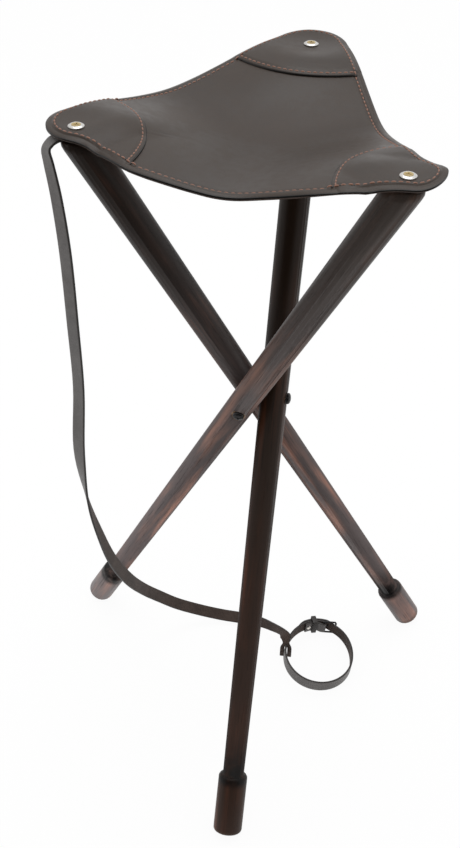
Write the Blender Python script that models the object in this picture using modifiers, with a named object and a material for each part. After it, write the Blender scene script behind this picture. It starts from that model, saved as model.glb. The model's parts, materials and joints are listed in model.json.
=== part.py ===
"""A folding tripod stool: three turned legs on a three-way bolt, a leather seat and a carry strap."""

import math

import bmesh
import bpy
from mathutils import Matrix, Vector

# All lengths are in metres. The stool stands on z = 0 with the front leg's eye bolt along +X.
GAP = 0.0003  # between pieces that touch
SHEET_GAP = 0.0006  # between leather layers that lie on each other

# Legs
LEG_TILT = math.radians(28.8)  # from the vertical, when open
LEG_ABOVE = 0.3285  # from the crossing to the top end
LEG_BELOW = 0.4675  # from the crossing to the foot end
LEG_TOP_RADIUS = 0.0158
LEG_ANKLE_RADIUS = 0.0111
FOOT_RADIUS = 0.0152
FOOT_LENGTH = 0.0655
FOOT_ROUNDING = 0.004
FOOT_FLAT_DROP = 0.0035  # the floor lies this far below the middle of the foot's end
LEG_STEPS = 24
TRIM_DEPTH = 0.1  # of the slabs that cut the legs level

# Three-way bolt
BOLT_RADIUS = 0.003
HOLE_RADIUS = BOLT_RADIUS + GAP
EYE_THICKNESS = 0.004
EYE_RADIUS = 0.0085
EYE_NECK_START = 0.8  # share of the eye's radius at which its neck begins
COLLAR_RADIUS = 0.0062
COLLAR_LENGTH = 0.002
HEAD_RADIUS = 0.0056
HEAD_HEIGHT = 0.0038
HEAD_EDGE = 0.35  # share of a head's height below its dome
HEAD_SLOT_WIDTH = 0.0013
HEAD_SLOT_DEPTH = 0.0013
NUT_BORE_DEPTH = 0.0024
WASHER_RADIUS = 0.0064
WASHER_THICKNESS = 0.0010
SPOT_FACE_RADIUS = 0.0070
SPOT_FACE_DEPTH = 0.0019

# Seat
LOBE_RADIUS = 0.039  # the round corners
LOBE_CENTRE = 0.1456  # from the stool's axis
LEFT_EDGE_BOW = -0.009  # how far each edge curves in
FRONT_EDGE_BOW = -0.008
RIGHT_EDGE_BOW = 0.007
SEAT_THICKNESS = 0.0030
LINING_THICKNESS = 0.0020
PATCH_THICKNESS = 0.0025
PATCH_EDGE = 0.050  # how far a patch runs along each edge past the round corner
PATCH_BULGE = 0.022
CORNER_FLAT = 0.029  # leather round each screw that does not hang
CORNER_DISH = 0.0025  # how deep each screw pulls the leather down
DISH_FLAT = 0.008
DISH_REACH = 0.046
EDGE_SAG = 0.0118
BELLY_SAG = 0.0175
SAG_POWER = 1.3
LOBE_STEPS = 8
EDGE_STEPS = 20
PATCH_STEPS = 4
SEAT_RINGS = (0.93, 0.86, 0.78, 0.68, 0.54, 0.36, 0.18)
PATCH_RINGS = (0.82, 0.62, 0.42, 0.22)

# Seat screws and cup washers
SCREW_RADIUS = 0.0019
SCREW_HEAD_RADIUS = 0.0041
SCREW_LENGTH = 0.036
SCREW_POINT = 0.005
CROSS_LENGTH = 0.0046
CROSS_WIDTH = 0.0011
CROSS_DEPTH = 0.0014
CUP_RADIUS = 0.0070
CUP_HEIGHT = 0.0030
CUP_RIM = (0.0009, 0.0002)  # width and drop of the ring round the screw
CUP_SHOULDER = (0.0008, 0.0012)  # how far in and how far down its dome turns
CUP_EDGE = 0.0004
CUP_MOUTH = SCREW_HEAD_RADIUS + GAP

# Carry strap
STRAP_WIDTH = 0.014
STRAP_THICKNESS = 0.0022
STRAP_EXIT = math.radians(237.8)  # plan direction in which it leaves the left corner
SLOT_WIDTH = STRAP_THICKNESS + 0.0012
SLOT_LENGTH = STRAP_WIDTH + 0.007
SLOT_DEPTH = 0.018
STRAP_SPAN_STEPS = 4

# Buckle strap: a loop that stands on its edge and leans a little
RING_WIDE = 0.0405  # half its width, at the middle of the leather
RING_DEEP = 0.052
RING_CENTRE = (0.0835, 0.030)  # from the stool's axis
RING_LEAN = math.radians(5.6)
RING_FLOOR_GAP = 0.001
LAYER = STRAP_THICKNESS + 0.0005  # from one leather layer to the next
BAR_RADIUS = 0.0012
FOLD_RADIUS = BAR_RADIUS + GAP + STRAP_THICKNESS / 2
FOLD_LENGTH = 0.025
FOLD_OPENS = 0.009  # from the bar, where the folded end leaves the loop to pass round it
FOLD_OPEN = 0.003  # from the bar, where it is fully open
LOOP_MARGIN = 0.004  # straight strap beside the buckle's two bars
TAIL_LENGTH = 0.030
FRAME_REACH = 0.014
FRAME_SIDE_GAP = 0.0006
FRAME_ROUNDING = 0.0012
PRONG_RADIUS = 0.0008
PRONG_OVERHANG = 0.0015
CREW_HOLE = (0.0050, 0.0026)  # length along the strap, and height
BILLET_HOLE = (0.0085, 0.0026)
KEEPER_AT = 0.0125  # from the buckle's bar along the strap
KEEPER_WIDTH = 0.006
KEEPER_THICKNESS = 0.0015
KEEPER_ROOM = 0.0007
RIVET_AT = 0.0200
RIVET_RADIUS = 0.0012
RIVET_HEAD_RADIUS = 0.0030
RIVET_HEAD_HEIGHT = 0.0010
RIVET_DOME = (0.7, 0.8)  # shares of the head's radius and height where its dome turns

# Worked out from the sizes above
LEAN = math.sin(LEG_TILT)
RISE = math.cos(LEG_TILT)
CROSSING_HEIGHT = LEG_BELOW * RISE + FOOT_FLAT_DROP
SHAFT_LENGTH = LEG_ABOVE + LEG_BELOW - FOOT_LENGTH
BOLT_NORM = math.sqrt(4 * RISE**2 + LEAN**2)


def leg_radius(along):
    """The taper's radius at a distance above the crossing."""
    share = (along + LEG_BELOW - FOOT_LENGTH) / SHAFT_LENGTH
    return LEG_ANKLE_RADIUS + (LEG_TOP_RADIUS - LEG_ANKLE_RADIUS) * share


PIVOT_RADIUS = leg_radius(0)
# From the eye to the left or right leg's axis
HALF_SPREAD = PIVOT_RADIUS + EYE_THICKNESS / 2 + GAP
# From the stool's axis to each leg's axis
CROSSING_OFFSET = HALF_SPREAD * BOLT_NORM / (math.sqrt(3) * RISE)
# The bolt's tilt sets one leg's hole higher and one lower by this
HOLE_SHIFT = HALF_SPREAD * LEAN / (BOLT_NORM * RISE)
BOLT_X = -CROSSING_OFFSET / 2 - math.sqrt(3) / 2 * LEAN * HOLE_SHIFT
FRONT_LEG_REACH = CROSSING_OFFSET - BOLT_X  # from the long bolt to the front leg's axis
TOP_HEIGHT = CROSSING_HEIGHT + LEG_ABOVE * RISE
STRAP_SEAT_DROP = STRAP_THICKNESS + GAP  # the strap's leg is cut shorter by this
LINING_TOP = TOP_HEIGHT + GAP + LINING_THICKNESS
SEAT_BASE = LINING_TOP + GAP
PATCH_LIFT = SEAT_THICKNESS + SHEET_GAP
CUP_BASE = SEAT_BASE + PATCH_LIFT + PATCH_THICKNESS + GAP
SCREW_HOLE_RADIUS = SCREW_RADIUS + GAP
SEAT_REACH = math.hypot(CROSSING_OFFSET, LEG_ABOVE * LEAN)  # from the stool's axis to a seat screw
TOP_TURN = math.atan2(LEG_ABOVE * LEAN, CROSSING_OFFSET)

THIRD = 2 * math.pi / 3
# Plan direction of each leg's crossing point, named by its foot
FRONT, RIGHT, LEFT = 0.0, THIRD, 2 * THIRD
CORNER_OF = {"back": FRONT + TOP_TURN, "left": RIGHT + TOP_TURN, "right": LEFT + TOP_TURN}
BOLT_AXIS = Vector((0, 2 * RISE, LEAN)) / BOLT_NORM
HUB = Vector((BOLT_X, 0, CROSSING_HEIGHT))


def clear_scene():
    for obj in list(bpy.data.objects):
        bpy.data.objects.remove(obj, do_unlink=True)


def new_collection(name):
    collection = bpy.data.collections.new(name)
    bpy.context.scene.collection.children.link(collection)
    return collection


def make_material(name, colour, roughness, metallic=0.0):
    material = bpy.data.materials.new(name)
    material.use_nodes = True
    shader = material.node_tree.nodes["Principled BSDF"]
    shader.inputs["Base Color"].default_value = (*colour, 1)
    shader.inputs["Roughness"].default_value = roughness
    shader.inputs["Metallic"].default_value = metallic
    return material


clear_scene()
parts = new_collection("tripod_stool")
cutters = new_collection("cutters")
STAINED_WOOD = make_material("stained_wood", (0.035, 0.018, 0.012), 0.40)
SEAT_LEATHER = make_material("seat_leather", (0.030, 0.025, 0.022), 0.45)
STRAP_LEATHER = make_material("strap_leather", (0.028, 0.023, 0.021), 0.50)
BLACK_STEEL = make_material("black_steel", (0.012, 0.012, 0.013), 0.35, 0.8)
NICKEL = make_material("nickel", (0.72, 0.70, 0.67), 0.18, 1.0)
BRASS = make_material("brass", (0.62, 0.47, 0.20), 0.28, 1.0)


def new_empty(name, matrix, parent=None):
    empty = bpy.data.objects.new(name, None)
    empty.parent = parent
    empty.matrix_basis = matrix
    parts.objects.link(empty)
    return empty


stool = new_empty("stool", Matrix.Identity(4))


def add_object(name, data, matrix, parent, material):
    obj = bpy.data.objects.new(name, data)
    obj.parent = parent
    obj.matrix_basis = matrix
    data.materials.append(material)
    parts.objects.link(obj)
    if hasattr(data, "shade_smooth"):
        data.shade_smooth()
        data.set_sharp_from_angle(angle=math.radians(35))
    return obj


def fasten(obj, carrier):
    """Makes a piece move with its carrier, leaving it where it is."""
    obj.parent = carrier
    obj.matrix_parent_inverse = carrier.matrix_basis.inverted()


def add_cutter(name, mesh, matrix, parent):
    obj = bpy.data.objects.new(name, mesh)
    obj.parent = parent
    obj.matrix_basis = matrix
    obj.hide_render = True
    obj.display_type = "WIRE"
    cutters.objects.link(obj)
    return obj


def boolean(obj, cutter, operation="DIFFERENCE"):
    modifier = obj.modifiers.new(cutter.name, "BOOLEAN")
    modifier.operation = operation
    modifier.object = cutter
    modifier.solver = "EXACT"


def mesh_from(bm, name):
    mesh = bpy.data.meshes.new(name)
    bm.to_mesh(mesh)
    bm.free()
    return mesh


def cylinder_mesh(name, radius, low, high, segments=24):
    """A cylinder along Z between two heights."""
    bm = bmesh.new()
    bmesh.ops.create_cone(
        bm, cap_ends=True, segments=segments, radius1=radius, radius2=radius, depth=high - low
    )
    bmesh.ops.translate(bm, verts=bm.verts, vec=(0, 0, (low + high) / 2))
    return mesh_from(bm, name)


def box_mesh(name, size, centre=(0, 0, 0)):
    bm = bmesh.new()
    bmesh.ops.create_cube(bm, size=1)
    bmesh.ops.scale(bm, verts=bm.verts, vec=size)
    bmesh.ops.translate(bm, verts=bm.verts, vec=centre)
    return mesh_from(bm, name)


def profile_mesh(name, points, closed=False):
    """An open or closed line of (radius, height) points in the XZ plane, to be turned by a Screw."""
    bm = bmesh.new()
    verts = [bm.verts.new((radius, 0, height)) for radius, height in points]
    for first, second in zip(verts, verts[1:]):
        bm.edges.new((first, second))
    if closed:
        bm.edges.new((verts[-1], verts[0]))
    return mesh_from(bm, name)


def add_turned(name, points, matrix, parent, material, steps=20, closed=False):
    obj = add_object(name, profile_mesh(name, points, closed), matrix, parent, material)
    screw = obj.modifiers.new("turn", "SCREW")
    screw.steps = screw.render_steps = steps
    screw.use_merge_vertices = True
    screw.merge_threshold = 0.00002
    screw.use_smooth_shade = True
    return obj


def arc(centre_radius, centre_height, radius, start, end, steps):
    """Profile points along an arc, with angles in degrees from +radius towards +height."""
    points = []
    for step in range(steps + 1):
        angle = math.radians(start + (end - start) * step / steps)
        points.append((centre_radius + radius * math.cos(angle), centre_height + radius * math.sin(angle)))
    return points


def frame_matrix(x_axis, y_axis, z_axis, place):
    matrix = Matrix((x_axis, y_axis, z_axis)).transposed().to_4x4()
    matrix.translation = place
    return matrix


def along_y(place=(0, 0, 0), flip=1):
    """A frame whose Z runs along +Y, or along -Y where flip is -1."""
    z_axis = Vector((0, flip, 0))
    x_axis = Vector((1, 0, 0))
    return frame_matrix(x_axis, z_axis.cross(x_axis), z_axis, place)


def along_x(place=(0, 0, 0)):
    """A frame whose Z runs along +X."""
    return frame_matrix(Vector((0, 1, 0)), Vector((0, 0, 1)), Vector((1, 0, 0)), place)


# Legs


def leg_direction(turn):
    return Vector((-math.sin(turn) * LEAN, math.cos(turn) * LEAN, RISE))


def crossing_point(turn):
    return Vector((CROSSING_OFFSET * math.cos(turn), CROSSING_OFFSET * math.sin(turn), CROSSING_HEIGHT))


def leg_profile(hole_shift):
    """The turned outline, top to bottom, with heights measured from the leg's own bolt hole."""
    spare = LEG_TOP_RADIUS * LEAN / RISE + GAP  # cut away level with the seat
    top = LEG_ABOVE + spare
    shoulder = FOOT_LENGTH - LEG_BELOW
    step = FOOT_RADIUS - LEG_ANKLE_RADIUS
    points = [(0, top), (leg_radius(top), top), (leg_radius(0), 0), (LEG_ANKLE_RADIUS, shoulder)]
    points += arc(LEG_ANKLE_RADIUS, shoulder - step, step, 90, 0, 4)[1:]
    points += arc(FOOT_RADIUS - FOOT_ROUNDING, FOOT_ROUNDING - LEG_BELOW, FOOT_ROUNDING, 0, -90, 4)
    points.append((0, -LEG_BELOW))
    return [(radius, height - hole_shift) for radius, height in points]


def leg_frame(turn, hole_shift):
    """The leg's frame: origin in its bolt hole, Z up along the leg, hinge along X (front) or Y (others)."""
    z_axis = leg_direction(turn)
    hole = crossing_point(turn) + z_axis * hole_shift
    if turn == FRONT:
        x_axis = Vector((1, 0, 0))
        return frame_matrix(x_axis, z_axis.cross(x_axis), z_axis, hole)
    return frame_matrix(BOLT_AXIS.cross(z_axis), BOLT_AXIS, z_axis, hole)


def level_cutter(name, height, upwards):
    """A slab that trims the legs level above or below a height."""
    middle = height + (TRIM_DEPTH if upwards else -TRIM_DEPTH) / 2
    side = 4 * (LEG_BELOW + LEG_ABOVE) * LEAN
    slab = box_mesh(name, (side, side, TRIM_DEPTH))
    return add_cutter(name, slab, Matrix.Translation((0, 0, middle)), stool)


def add_leg(name, turn, hole_shift, face_side, top_cutter, floor_cutter):
    matrix = leg_frame(turn, hole_shift)
    leg = add_turned(name, leg_profile(hole_shift), matrix, stool, STAINED_WOOD, steps=LEG_STEPS)
    boolean(leg, top_cutter)
    boolean(leg, floor_cutter)
    radius = leg_radius(hole_shift)
    turned = along_x() if turn == FRONT else along_y(flip=face_side)
    bore = cylinder_mesh(name + "_bore", HOLE_RADIUS, -2 * radius, 2 * radius)
    boolean(leg, add_cutter(name + "_bore", bore, turned, leg))
    face = cylinder_mesh(name + "_spot_face", SPOT_FACE_RADIUS, radius - SPOT_FACE_DEPTH, 2 * radius)
    boolean(leg, add_cutter(name + "_spot_face", face, turned, leg))
    return leg


def add_legs():
    floor_cutter = level_cutter("floor_level", 0, upwards=False)
    seat_cutter = level_cutter("seat_level", TOP_HEIGHT, upwards=True)
    strap_cutter = level_cutter("strap_level", TOP_HEIGHT - STRAP_SEAT_DROP, upwards=True)
    return {
        "back": add_leg("front_leg", FRONT, 0, 1, seat_cutter, floor_cutter),
        "right": add_leg("left_leg", LEFT, -HOLE_SHIFT, -1, seat_cutter, floor_cutter),
        "left": add_leg("right_leg", RIGHT, HOLE_SHIFT, 1, strap_cutter, floor_cutter),
    }


# Three-way bolt


def dome_profile(radius, height, base):
    """A domed head, top to bottom, standing on a base height."""
    edge = height * HEAD_EDGE
    flatten = (height - edge) / radius
    dome = [(out, base + edge + up * flatten) for out, up in arc(0, 0, radius, 90, 0, 6)]
    return [(0, base + height)] + dome[1:] + [(radius, base)]


def cut_slot(obj, length, width, depth, top, turn=0.0):
    """A screwdriver slot in a head whose top is at a height in the object's own frame."""
    name = f"{obj.name}_slot_{len(obj.modifiers)}"
    slot = box_mesh(name, (length, width, 2 * depth), (0, 0, top))
    boolean(obj, add_cutter(name, slot, Matrix.Rotation(turn, 4, "Z"), obj))


def add_cap_nut(name, matrix, parent):
    """A domed nut with a blind bore, standing on z = 0 of its frame."""
    outer = dome_profile(HEAD_RADIUS, HEAD_HEIGHT, 0)
    bore = [(HOLE_RADIUS, 0), (HOLE_RADIUS, NUT_BORE_DEPTH), (0, NUT_BORE_DEPTH)]
    nut = add_turned(name, outer + bore, matrix, parent, BLACK_STEEL)
    cut_slot(nut, 3 * HEAD_RADIUS, HEAD_SLOT_WIDTH, HEAD_SLOT_DEPTH / 2, HEAD_HEIGHT)
    return nut


def add_washer(name, matrix, parent):
    top = WASHER_THICKNESS
    ring = [(HOLE_RADIUS, top), (WASHER_RADIUS, top), (WASHER_RADIUS, 0), (HOLE_RADIUS, 0)]
    return add_turned(name, ring, matrix, parent, BLACK_STEEL, closed=True)


def add_pivot_bolt(hub):
    """The long bolt through the left and right legs, its head in front."""
    front_face = HALF_SPREAD + leg_radius(-HOLE_SHIFT) - SPOT_FACE_DEPTH + GAP
    back_face = HALF_SPREAD + leg_radius(HOLE_SHIFT) - SPOT_FACE_DEPTH + GAP
    nut_base = back_face + WASHER_THICKNESS + GAP
    tip = nut_base + NUT_BORE_DEPTH - GAP
    points = dome_profile(HEAD_RADIUS, HEAD_HEIGHT, front_face)
    points += [(BOLT_RADIUS, front_face), (BOLT_RADIUS, -tip), (0, -tip)]
    bolt = add_turned("pivot_bolt", points, along_y(flip=-1), hub, BLACK_STEEL)
    for turn in (0, math.pi / 2):
        cut_slot(bolt, HEAD_RADIUS, HEAD_SLOT_WIDTH, HEAD_SLOT_DEPTH, front_face + HEAD_HEIGHT, turn)
    add_washer("pivot_washer", along_y((0, back_face, 0)), hub)
    add_cap_nut("pivot_cap_nut", along_y((0, nut_base, 0)), hub)


def add_eye_bolt(hub):
    """The eye on the long bolt, whose shank carries the front leg."""
    collar_face = FRONT_LEG_REACH - PIVOT_RADIUS - GAP
    outer_face = FRONT_LEG_REACH + PIVOT_RADIUS - SPOT_FACE_DEPTH + GAP
    nut_base = outer_face + WASHER_THICKNESS + GAP
    tip = nut_base + NUT_BORE_DEPTH - GAP
    half = EYE_THICKNESS / 2
    shank = [(0, tip), (BOLT_RADIUS, tip), (BOLT_RADIUS, collar_face)]
    shank += [(COLLAR_RADIUS, collar_face), (COLLAR_RADIUS, collar_face - COLLAR_LENGTH)]
    neck_radius = half  # no thicker than the eye, so that it clears the other legs
    neck_start = EYE_RADIUS * EYE_NECK_START
    shank += [(neck_radius, collar_face - COLLAR_LENGTH), (neck_radius, neck_start), (0, neck_start)]
    bolt = add_turned("eye_bolt", shank, along_x(), hub, BLACK_STEEL)
    level = bolt.matrix_basis.inverted() @ along_y()
    eye = cylinder_mesh("eye", EYE_RADIUS, -half, half)
    boolean(bolt, add_cutter("eye", eye, level, bolt), "UNION")
    bore = cylinder_mesh("eye_bore", HOLE_RADIUS, -EYE_RADIUS, EYE_RADIUS)
    boolean(bolt, add_cutter("eye_bore", bore, level, bolt))
    add_washer("eye_washer", along_x((outer_face, 0, 0)), hub)
    add_cap_nut("eye_cap_nut", along_x((nut_base, 0, 0)), hub)


# Seat


def plan(reach, turn):
    return Vector((reach * math.cos(turn), reach * math.sin(turn)))


def corner_point(corner):
    return plan(SEAT_REACH, CORNER_OF[corner])


def seat_height(x, y):
    """The underside of the seat leather: drawn down at each screw, hanging between them."""
    rise = 0.0
    lift = CORNER_DISH
    for corner in CORNER_OF:
        away = (Vector((x, y)) - corner_point(corner)).length
        share = min(max((away - CORNER_FLAT) / (SEAT_REACH - CORNER_FLAT), 0.0), 1.0)
        rise += 1 - math.sin(share * math.pi / 2) ** SAG_POWER
        climb = min(max((away - DISH_FLAT) / (DISH_REACH - DISH_FLAT), 0.0), 1.0)
        lift -= CORNER_DISH * (1 - climb**2) ** 2
    belly = BELLY_SAG * (1 - (x * x + y * y) / SEAT_REACH**2)
    return SEAT_BASE + lift - (1 - min(rise, 1.0)) * (EDGE_SAG + belly)


def lobe_points(turn):
    """A corner's round edge, anticlockwise."""
    centre = plan(LOBE_CENTRE, turn)
    half = THIRD / 2
    angles = [turn - half + 2 * half * step / LOBE_STEPS for step in range(LOBE_STEPS + 1)]
    return [centre + plan(LOBE_RADIUS, angle) for angle in angles]


EDGE_BOW = {"back": LEFT_EDGE_BOW, "left": FRONT_EDGE_BOW, "right": RIGHT_EDGE_BOW}
CORNER_BEFORE = {"left": "back", "right": "left", "back": "right"}


def edge_point(corner, share):
    """A point on the seat's edge, anticlockwise from this corner to the next one."""
    turn = CORNER_OF[corner]
    start, end = lobe_points(turn)[-1], lobe_points(turn + THIRD)[0]
    inward = plan(-1, turn + THIRD / 2)
    return start.lerp(end, share) + inward * EDGE_BOW[corner] * math.sin(math.pi * share) ** 2


def seat_outline():
    points = []
    for corner, turn in CORNER_OF.items():
        points += lobe_points(turn)
        points += [edge_point(corner, step / EDGE_STEPS) for step in range(1, EDGE_STEPS)]
    return points


def patch_outline(corner):
    """A corner patch: the round corner, a stretch of both edges and a curved inner edge."""
    turn = CORNER_OF[corner]
    edge_length = LOBE_CENTRE * math.sqrt(3)
    reach = PATCH_EDGE / edge_length
    shares = [reach * step / PATCH_STEPS for step in range(1, PATCH_STEPS + 1)]
    before = [edge_point(CORNER_BEFORE[corner], 1 - share) for share in reversed(shares)]
    after = [edge_point(corner, share) for share in shares]
    inner = []
    for step in range(1, LOBE_STEPS):
        share = step / LOBE_STEPS
        bulge = plan(-PATCH_BULGE, turn) * 4 * share * (1 - share)
        inner.append(after[-1].lerp(before[0], share) + bulge)
    return before + lobe_points(turn) + after + inner


def sheet_mesh(name, outline, centre, rings, lift):
    """An outline filled by shrinking rings, laid on the hanging surface and lifted square to it."""
    bm = bmesh.new()
    rim = [bm.verts.new((*point, 0)) for point in outline]
    edges = [bm.edges.new((rim[i - 1], rim[i])) for i in range(len(rim))]
    scale = 1.0
    for ring in rings:
        grown = bmesh.ops.extrude_edge_only(bm, edges=edges)["geom"]
        verts = [item for item in grown if isinstance(item, bmesh.types.BMVert)]
        inside = set(verts)
        drawn = [item for item in grown if isinstance(item, bmesh.types.BMEdge)]
        edges = [edge for edge in drawn if set(edge.verts) <= inside]
        space = Matrix.Translation((-centre[0], -centre[1], 0))
        bmesh.ops.scale(bm, verts=verts, vec=(ring / scale, ring / scale, 1), space=space)
        scale = ring
    middle = bmesh.ops.contextual_create(bm, geom=edges)["faces"]
    bmesh.ops.poke(bm, faces=middle)
    for vert in bm.verts:
        vert.co.z = seat_height(vert.co.x, vert.co.y)
    bmesh.ops.recalc_face_normals(bm, faces=bm.faces)
    if sum(face.normal.z for face in bm.faces) < 0:
        bmesh.ops.reverse_faces(bm, faces=bm.faces)
    bm.normal_update()
    moves = [(vert, vert.normal * lift) for vert in bm.verts]
    for vert, move in moves:
        vert.co += move
    return mesh_from(bm, name)


def add_sheet(name, mesh, thickness, upwards):
    obj = add_object(name, mesh, Matrix.Identity(4), stool, SEAT_LEATHER)
    solidify = obj.modifiers.new("thickness", "SOLIDIFY")
    solidify.thickness = thickness
    solidify.offset = 1 if upwards else -1
    solidify.use_even_offset = True
    return obj


def screw_matrix(corner):
    place = corner_point(corner)
    return Matrix.Translation((place.x, place.y, CUP_BASE + CUP_HEIGHT))


def add_seat():
    middle = Vector((0, 0))
    outline = seat_outline()
    seat_mesh = sheet_mesh("seat_leather", outline, middle, SEAT_RINGS, 0)
    lining_mesh = sheet_mesh("seat_lining", outline, middle, SEAT_RINGS, -GAP)
    seat = add_sheet("seat_leather", seat_mesh, SEAT_THICKNESS, upwards=True)
    lining = add_sheet("seat_lining", lining_mesh, LINING_THICKNESS, upwards=False)
    patches = {}
    for corner in CORNER_OF:
        name = f"{corner}_corner_patch"
        mesh = sheet_mesh(name, patch_outline(corner), corner_point(corner), PATCH_RINGS, PATCH_LIFT)
        patches[corner] = add_sheet(name, mesh, PATCH_THICKNESS, upwards=True)
    return seat, lining, patches


SCREW_NECK = SCREW_HEAD_RADIUS - SCREW_RADIUS


def screw_profile():
    """A countersunk screw hanging from z = 0."""
    head = [(0, 0), (SCREW_HEAD_RADIUS, 0), (SCREW_RADIUS, -SCREW_NECK)]
    return head + [(SCREW_RADIUS, SCREW_POINT - SCREW_LENGTH), (0, -SCREW_LENGTH)]


def cup_profile():
    """A domed cup washer hanging from z = 0, hollowed for the screw's head."""
    rim_width, rim_drop = CUP_RIM
    inward, down = CUP_SHOULDER
    outside = [(CUP_MOUTH, 0), (CUP_MOUTH + rim_width, -rim_drop), (CUP_RADIUS - inward, -down)]
    outside += [(CUP_RADIUS, CUP_EDGE - CUP_HEIGHT), (CUP_RADIUS, -CUP_HEIGHT)]
    return outside + [(SCREW_HOLE_RADIUS, -CUP_HEIGHT), (SCREW_HOLE_RADIUS, -SCREW_NECK - GAP)]


def add_seat_screws(legs, seat, lining, patches):
    """Each corner's screw and cup washer, with their holes through the leather and into the leg."""
    for corner, leg in legs.items():
        matrix = screw_matrix(corner)
        screw = add_turned(f"{corner}_seat_screw", screw_profile(), matrix, stool, BRASS, steps=16)
        for turn in (0, math.pi / 2):
            cut_slot(screw, CROSS_LENGTH, CROSS_WIDTH, CROSS_DEPTH, 0, turn)
        cup = add_turned(f"{corner}_cup_washer", cup_profile(), matrix, stool, NICKEL, closed=True)
        name = f"{corner}_screw_hole"
        hole = cylinder_mesh(name, SCREW_HOLE_RADIUS, -SCREW_LENGTH - GAP, CUP_HEIGHT, 16)
        cutter = add_cutter(name, hole, matrix, stool)
        for piece in (leg, seat, lining, patches[corner]):
            boolean(piece, cutter)
        fasten(screw, leg)
        fasten(cup, leg)


# Carry strap: points of its middle line, from the left seat screw in plan and from the floor in height,
# each with the direction of its width
EXIT = plan(1, STRAP_EXIT)
ACROSS = (-EXIT.y, EXIT.x, 0.0)
STRAP_TOP = TOP_HEIGHT - STRAP_THICKNESS / 2
STRAP_OVER_CORNER = ((-0.013, 0.0), (0.0, 0.0), (0.018, -0.0002), (0.024, -0.0012), (0.029, -0.0040))
STRAP_ROUTE = (
    ((-0.0160, -0.0275, 0.6928), ACROSS),
    ((-0.0148, -0.0295, 0.6822), ACROSS),
    ((-0.0110, -0.0310, 0.6539), ACROSS),
    ((-0.0070, -0.0318, 0.6053), ACROSS),
    ((-0.0055, -0.0315, 0.5364), ACROSS),
    ((-0.0060, -0.0315, 0.4656), ACROSS),
    ((-0.0085, -0.0305, 0.3897), ACROSS),
    ((-0.0080, -0.0256, 0.3239), (0.85, -0.52, 0.0)),
    ((-0.0048, -0.0163, 0.2682), (0.88, -0.48, 0.0)),
    ((0.0025, 0.0050, 0.2126), (0.90, -0.44, 0.0)),
    ((0.0100, 0.0390, 0.1518), (0.90, -0.43, 0.0)),
    ((0.0180, 0.0748, 0.0992), (0.86, -0.51, 0.0)),
    ((0.0330, 0.0985, 0.0640), (0.78, -0.62, 0.0)),
    ((0.0509, 0.1135, 0.0400), (0.62, -0.78, 0.0)),
    ((0.0758, 0.1277, 0.0205), (0.35, -0.93, -0.10)),
    ((0.1033, 0.1350, 0.0110), (0.15, -0.90, -0.40)),
    ((0.1292, 0.1372, 0.0095), (0.05, -0.62, -0.78)),
    ((0.1535, 0.1353, 0.0110), (0.0, -0.25, -0.97)),
    ((0.1703, 0.1256, 0.0155), (-0.15, 0.0, -0.98)),
    ((0.1815, 0.1135, 0.0235), (-0.45, 0.10, -0.88)),
    ((0.1880, 0.1035, 0.0290), (-0.80, 0.10, -0.55)),
    ((0.1905, 0.0965, 0.0250), (-0.98, 0.02, -0.15)),
    ((0.1910, 0.0945, 0.0140), (-1.0, 0.0, 0.0)),
    ((0.1910, 0.0940, 0.0020), (-1.0, 0.0, 0.0)),
)


def smooth_through(points, steps):
    """Points along a smooth curve through these, each a tuple of any length."""
    vectors = [Vector(point) for point in points]
    ends = [vectors[0] * 2 - vectors[1]] + vectors + [vectors[-1] * 2 - vectors[-2]]
    curve = []
    for before, start, end, after in zip(ends, ends[1:], ends[2:], ends[3:]):
        for step in range(steps):
            t = step / steps
            bend = (end - before) * t + (before * 2 - start * 5 + end * 4 - after) * t**2
            bend += (start * 3 - before - end * 3 + after) * t**3
            curve.append(start + bend / 2)
    return curve + [vectors[-1]]


def carry_strap_stations():
    """Middle points and width directions along the whole strap, in the stool's frame."""
    anchor = corner_point("left")
    places, widths = [], []
    for reach, drop in STRAP_OVER_CORNER:
        spot = anchor + EXIT * reach
        places.append((spot.x, spot.y, STRAP_TOP + drop))
        widths.append(ACROSS)
    for (x, y, z), width in STRAP_ROUTE:
        places.append((anchor.x + x, anchor.y + y, z))
        widths.append(width)
    return smooth_through(places, STRAP_SPAN_STEPS), smooth_through(widths, STRAP_SPAN_STEPS)


def strip_mesh(name, pairs):
    """A strip of faces between pairs of edge points."""
    bm = bmesh.new()
    rows = [[bm.verts.new(point) for point in pair] for pair in pairs]
    for (left, right), (next_left, next_right) in zip(rows, rows[1:]):
        bm.faces.new((left, right, next_right, next_left))
    return mesh_from(bm, name)


def add_strip(name, pairs, matrix):
    obj = add_object(name, strip_mesh(name, pairs), matrix, stool, STRAP_LEATHER)
    solidify = obj.modifiers.new("thickness", "SOLIDIFY")
    solidify.thickness = STRAP_THICKNESS
    solidify.offset = 0
    solidify.use_even_offset = True
    return obj


def add_carry_strap():
    middles, widths = carry_strap_stations()
    pairs = []
    for middle, width in zip(middles, widths):
        half = width.normalized() * STRAP_WIDTH / 2
        pairs.append((middle - half, middle + half))
    strap = add_strip("carry_strap", pairs, Matrix.Identity(4))
    anchor = corner_point("left")
    hole = cylinder_mesh("strap_screw_hole", SCREW_HOLE_RADIUS, -SCREW_LENGTH, SCREW_LENGTH, 16)
    place = Matrix.Translation((anchor.x, anchor.y, STRAP_TOP))
    boolean(strap, add_cutter("strap_screw_hole", hole, place, stool))
    ring = ring_frame()
    slot = box_mesh("strap_slot", (SLOT_WIDTH, SLOT_DEPTH, SLOT_LENGTH), (0, 0, STRAP_WIDTH / 2))
    left_end = ring @ Matrix.Translation((-RING_WIDE, 0, 0))
    boolean(strap, add_cutter("strap_slot", slot, left_end, stool))
    return strap


# Buckle strap


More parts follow.
